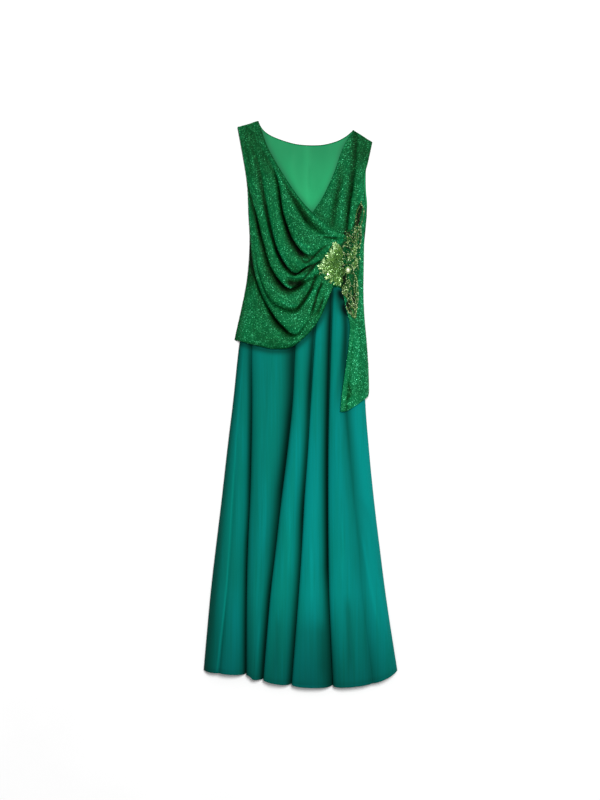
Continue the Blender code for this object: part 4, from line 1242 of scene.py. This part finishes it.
def looseBeads(name, lines, shape, size, tints, finish):
    places = []
    for points, count, most in lines:
        marks = spline(points, [random.uniform(0, len(points) - 1) for _ in range(count)])
        heading = math.atan2(points[-1][1] - points[0][1], points[-1][0] - points[0][0])
        for x, y in marks:
            x, y = (place + random.gauss(0, most * stray["share"]) for place in (x, y))
            z = float(motifTop(x, y)) + size * stray["above"] + random.uniform(*stray["heights"])
            turn, lean = heading + random.gauss(0, stray["turn"]), random.gauss(0, stray["lean"])
            places.append((x, y, z, turn, lean, 0.0, size * random.uniform(*stray["sizes"]), random.uniform(*tints)))
    return joined(name, *shape, places, finish)


# the stone, an oval dome, with a ring for each wire around it: how far the ring stands out, the wire's radius and its
# height. The hub is a small ring of its own at the fan's root
stone = {
    "at": (125.6, 354.6), "wide": 6.2, "long": 8.4, "high": 4.6, "above": 3.0, "levels": 9, "sides": 32,
    "rings": [(0.5, 1.0, 0.4), (0.2, 0.5, 1.5)], "tint": 0.6,
    "hubAt": (108.7, 372.3), "hubRadius": 4.6, "hubWire": 1.0, "hubAbove": 4.5,
    "pale": fromSrgb(240, 248, 216), "cloudy": fromSrgb(206, 226, 166), "olive": fromSrgb(92, 112, 48),
}


# the stone is pale in its middle and olive towards its rim
def stoneFinish():
    f = Finish("paleStone", Roughness=0.12, Coat_Weight=1.0)
    x, y = stone["at"][0] * mm, stone["at"][1] * mm
    out = ((f.axis("X") - x) / (stone["wide"] * mm)) ** 2.0 + ((f.axis("Y") - y) / (stone["long"] * mm)) ** 2.0
    middle = f.mix(f.ramp(f.noise(160.0, 3.0), 0.35, 0.7), stone["cloudy"], stone["pale"])
    f.feed("Base Color", f.mix(f.ramp(out, 0.12, 0.8), middle, stone["olive"]))
    return f.material


# a closed ring of round section through points, as points and faces
def ringTube(centres, radius, sides, start=0):
    centres = np.asarray(centres, float)
    ahead = np.roll(centres, -1, axis=0) - np.roll(centres, 1, axis=0)
    ahead /= np.linalg.norm(ahead, axis=1, keepdims=True)
    out = np.cross(ahead, (0, 0, 1.0))
    out /= np.linalg.norm(out, axis=1, keepdims=True)
    up = np.cross(out, ahead)
    points, faces = [], []
    for k, (centre, o, u) in enumerate(zip(centres, out, up)):
        here, following = start + k * sides, start + (k + 1) % len(centres) * sides
        for s in range(sides):
            a, beside = 2 * math.pi * s / sides, (s + 1) % sides
            points.append(centre + radius * (math.cos(a) * o + math.sin(a) * u))
            faces.append([here + s, here + beside, following + beside, following + s])
    return points, faces


# merges a mesh's doubles and turns its faces outwards
def closeMesh(piece):
    work = bmesh.new()
    work.from_mesh(piece.data)
    bmesh.ops.remove_doubles(work, verts=work.verts, dist=1e-6)
    bmesh.ops.recalc_face_normals(work, faces=work.faces)
    work.to_mesh(piece.data)
    work.free()
    return piece


def oval(centre, wide, long, z, count):
    turns = np.linspace(0, 2 * math.pi, count + 1)[:-1]
    return [(centre[0] + wide * math.cos(a), centre[1] + long * math.sin(a), z) for a in turns]


def makeStone(stoneMaterial, wireMaterial):
    at, sides = stone["at"], stone["sides"]
    z = float(motifHeight(*at)) + stone["above"]
    points, faces = [], []
    for level in range(stone["levels"]):
        a = math.pi / 2 * level / (stone["levels"] - 1)
        wide, long = stone["wide"] * math.cos(a), stone["long"] * math.cos(a)
        points += oval(at, wide, long, z + stone["high"] * math.sin(a), sides)
    for level in range(stone["levels"] - 1):
        here, above = level * sides, (level + 1) * sides
        faces += [[here + s, here + (s + 1) % sides, above + (s + 1) % sides, above + s] for s in range(sides)]
    faces.append(list(range(sides))[::-1])
    dome = declare(closeMesh(meshPiece("stone", points, faces, stoneMaterial, {})), "motif_stone")
    wires = [(oval(at, stone["wide"] + out, stone["long"] + out, z + lift, 32), thick)
             for out, thick, lift in stone["rings"]]
    hubZ = float(motifHeight(*stone["hubAt"])) + stone["hubAbove"]
    wires.append((oval(stone["hubAt"], stone["hubRadius"], stone["hubRadius"], hubZ, 24), stone["hubWire"]))
    points, faces = [], []
    for centres, thick in wires:
        morePoints, moreFaces = ringTube(centres, thick, 8, len(points))
        points += morePoints
        faces += moreFaces
    tints = {"tint": [stone["tint"]] * len(points)}
    setting = closeMesh(meshPiece("stoneSetting", points, faces, wireMaterial, tints))
    return [dome, declare(setting, None)]


# soft light from high on the upper right, a pale sky, and a pale floor
light = {
    "keyPlace": (1.1, 1.7, 6.0), "keyAim": (0.0, 0.0, 0.0), "keySize": 2.4, "keyPower": 330.0, "sky": 0.44,
    "floorSize": 40.0, "floorBelow": 0.5, "floor": (fromSrgb(247, 247, 247), fromSrgb(250, 250, 250)),
}


def floorFinish():
    f = Finish("paleFloor", Roughness=0.9)
    f.feed("Base Color", f.mix(f.ramp(f.noise(3.0, 3.0), 0.35, 0.7), *light["floor"]))
    f.bump(f.noise(18.0), 0.0003, 0.3)
    return f.material


def makeStage():
    half, z = light["floorSize"] / mm / 2, -light["floorBelow"]
    corners = [(-half, -half, z), (half, -half, z), (half, half, z), (-half, half, z)]
    floor = meshPiece("floor", corners, [[0, 1, 2, 3]], floorFinish(), {})
    lamp = bpy.data.lights.new("key", "AREA")
    lamp.shape = "DISK"
    lamp.size = light["keySize"]
    lamp.energy = light["keyPower"]
    key = inScene("key", lamp)
    key.location = light["keyPlace"]
    key.rotation_euler = (Vector(light["keyAim"]) - Vector(light["keyPlace"])).to_track_quat("-Z", "Y").to_euler()
    world = bpy.data.worlds.new("sky")
    world.use_nodes = True
    background = world.node_tree.nodes["Background"].inputs
    background["Strength"].default_value = light["sky"]
    background["Color"].default_value = (1, 1, 1, 1)
    bpy.context.scene.world = world
    bpy.context.scene.view_settings.view_transform = "Standard"


makeCamera()
makeStage()
jerseyMaterial, chiffonMaterial, liningMaterial = jerseyFinish(), chiffonFinish(), liningFinish()
sequinMaterial, pailletteMaterial, beadMaterial, darkBeadMaterial = (tintedFinish(name) for name in tinted)
netMaterial, stoneMaterial = netFinish(), stoneFinish()
print("finishes made")
makeBacks(jerseyMaterial, liningMaterial)
makeSkirtBack(chiffonMaterial)
makeSkirtFront(chiffonMaterial)
underPiece = makeUnderWrap(jerseyMaterial)
drapePiece = makeDrape(jerseyMaterial)
cascadePiece = makeCascade(jerseyMaterial)
underSequins = sewSequins(underPiece, "underSequins", sequinMaterial)
drapeSequins = sewSequins(drapePiece, "drapeSequins", sequinMaterial)
cascadeSequins = sewSequins(cascadePiece, "cascadeSequins", sequinMaterial)
print("sequins sewn")
netPiece = makeNet(netMaterial)
onNet = [sewSequins(netPiece, "netSequins", sequinMaterial)]
onNet += [strungBeads(beadMaterial), seedBeads(netPiece, beadMaterial)]
onNet += makePaillettes(pailletteMaterial) + makeStone(stoneMaterial, beadMaterial)
onNet.append(looseBeads("cupBeads", motif["cupBeads"], roundBead(), 1.6, (0.55, 1.0), beadMaterial))
onNet.append(looseBeads("bugleBeads", motif["bugles"], bugleBead(), 2.4, (0.0, 1.0), darkBeadMaterial))
print("motif made")
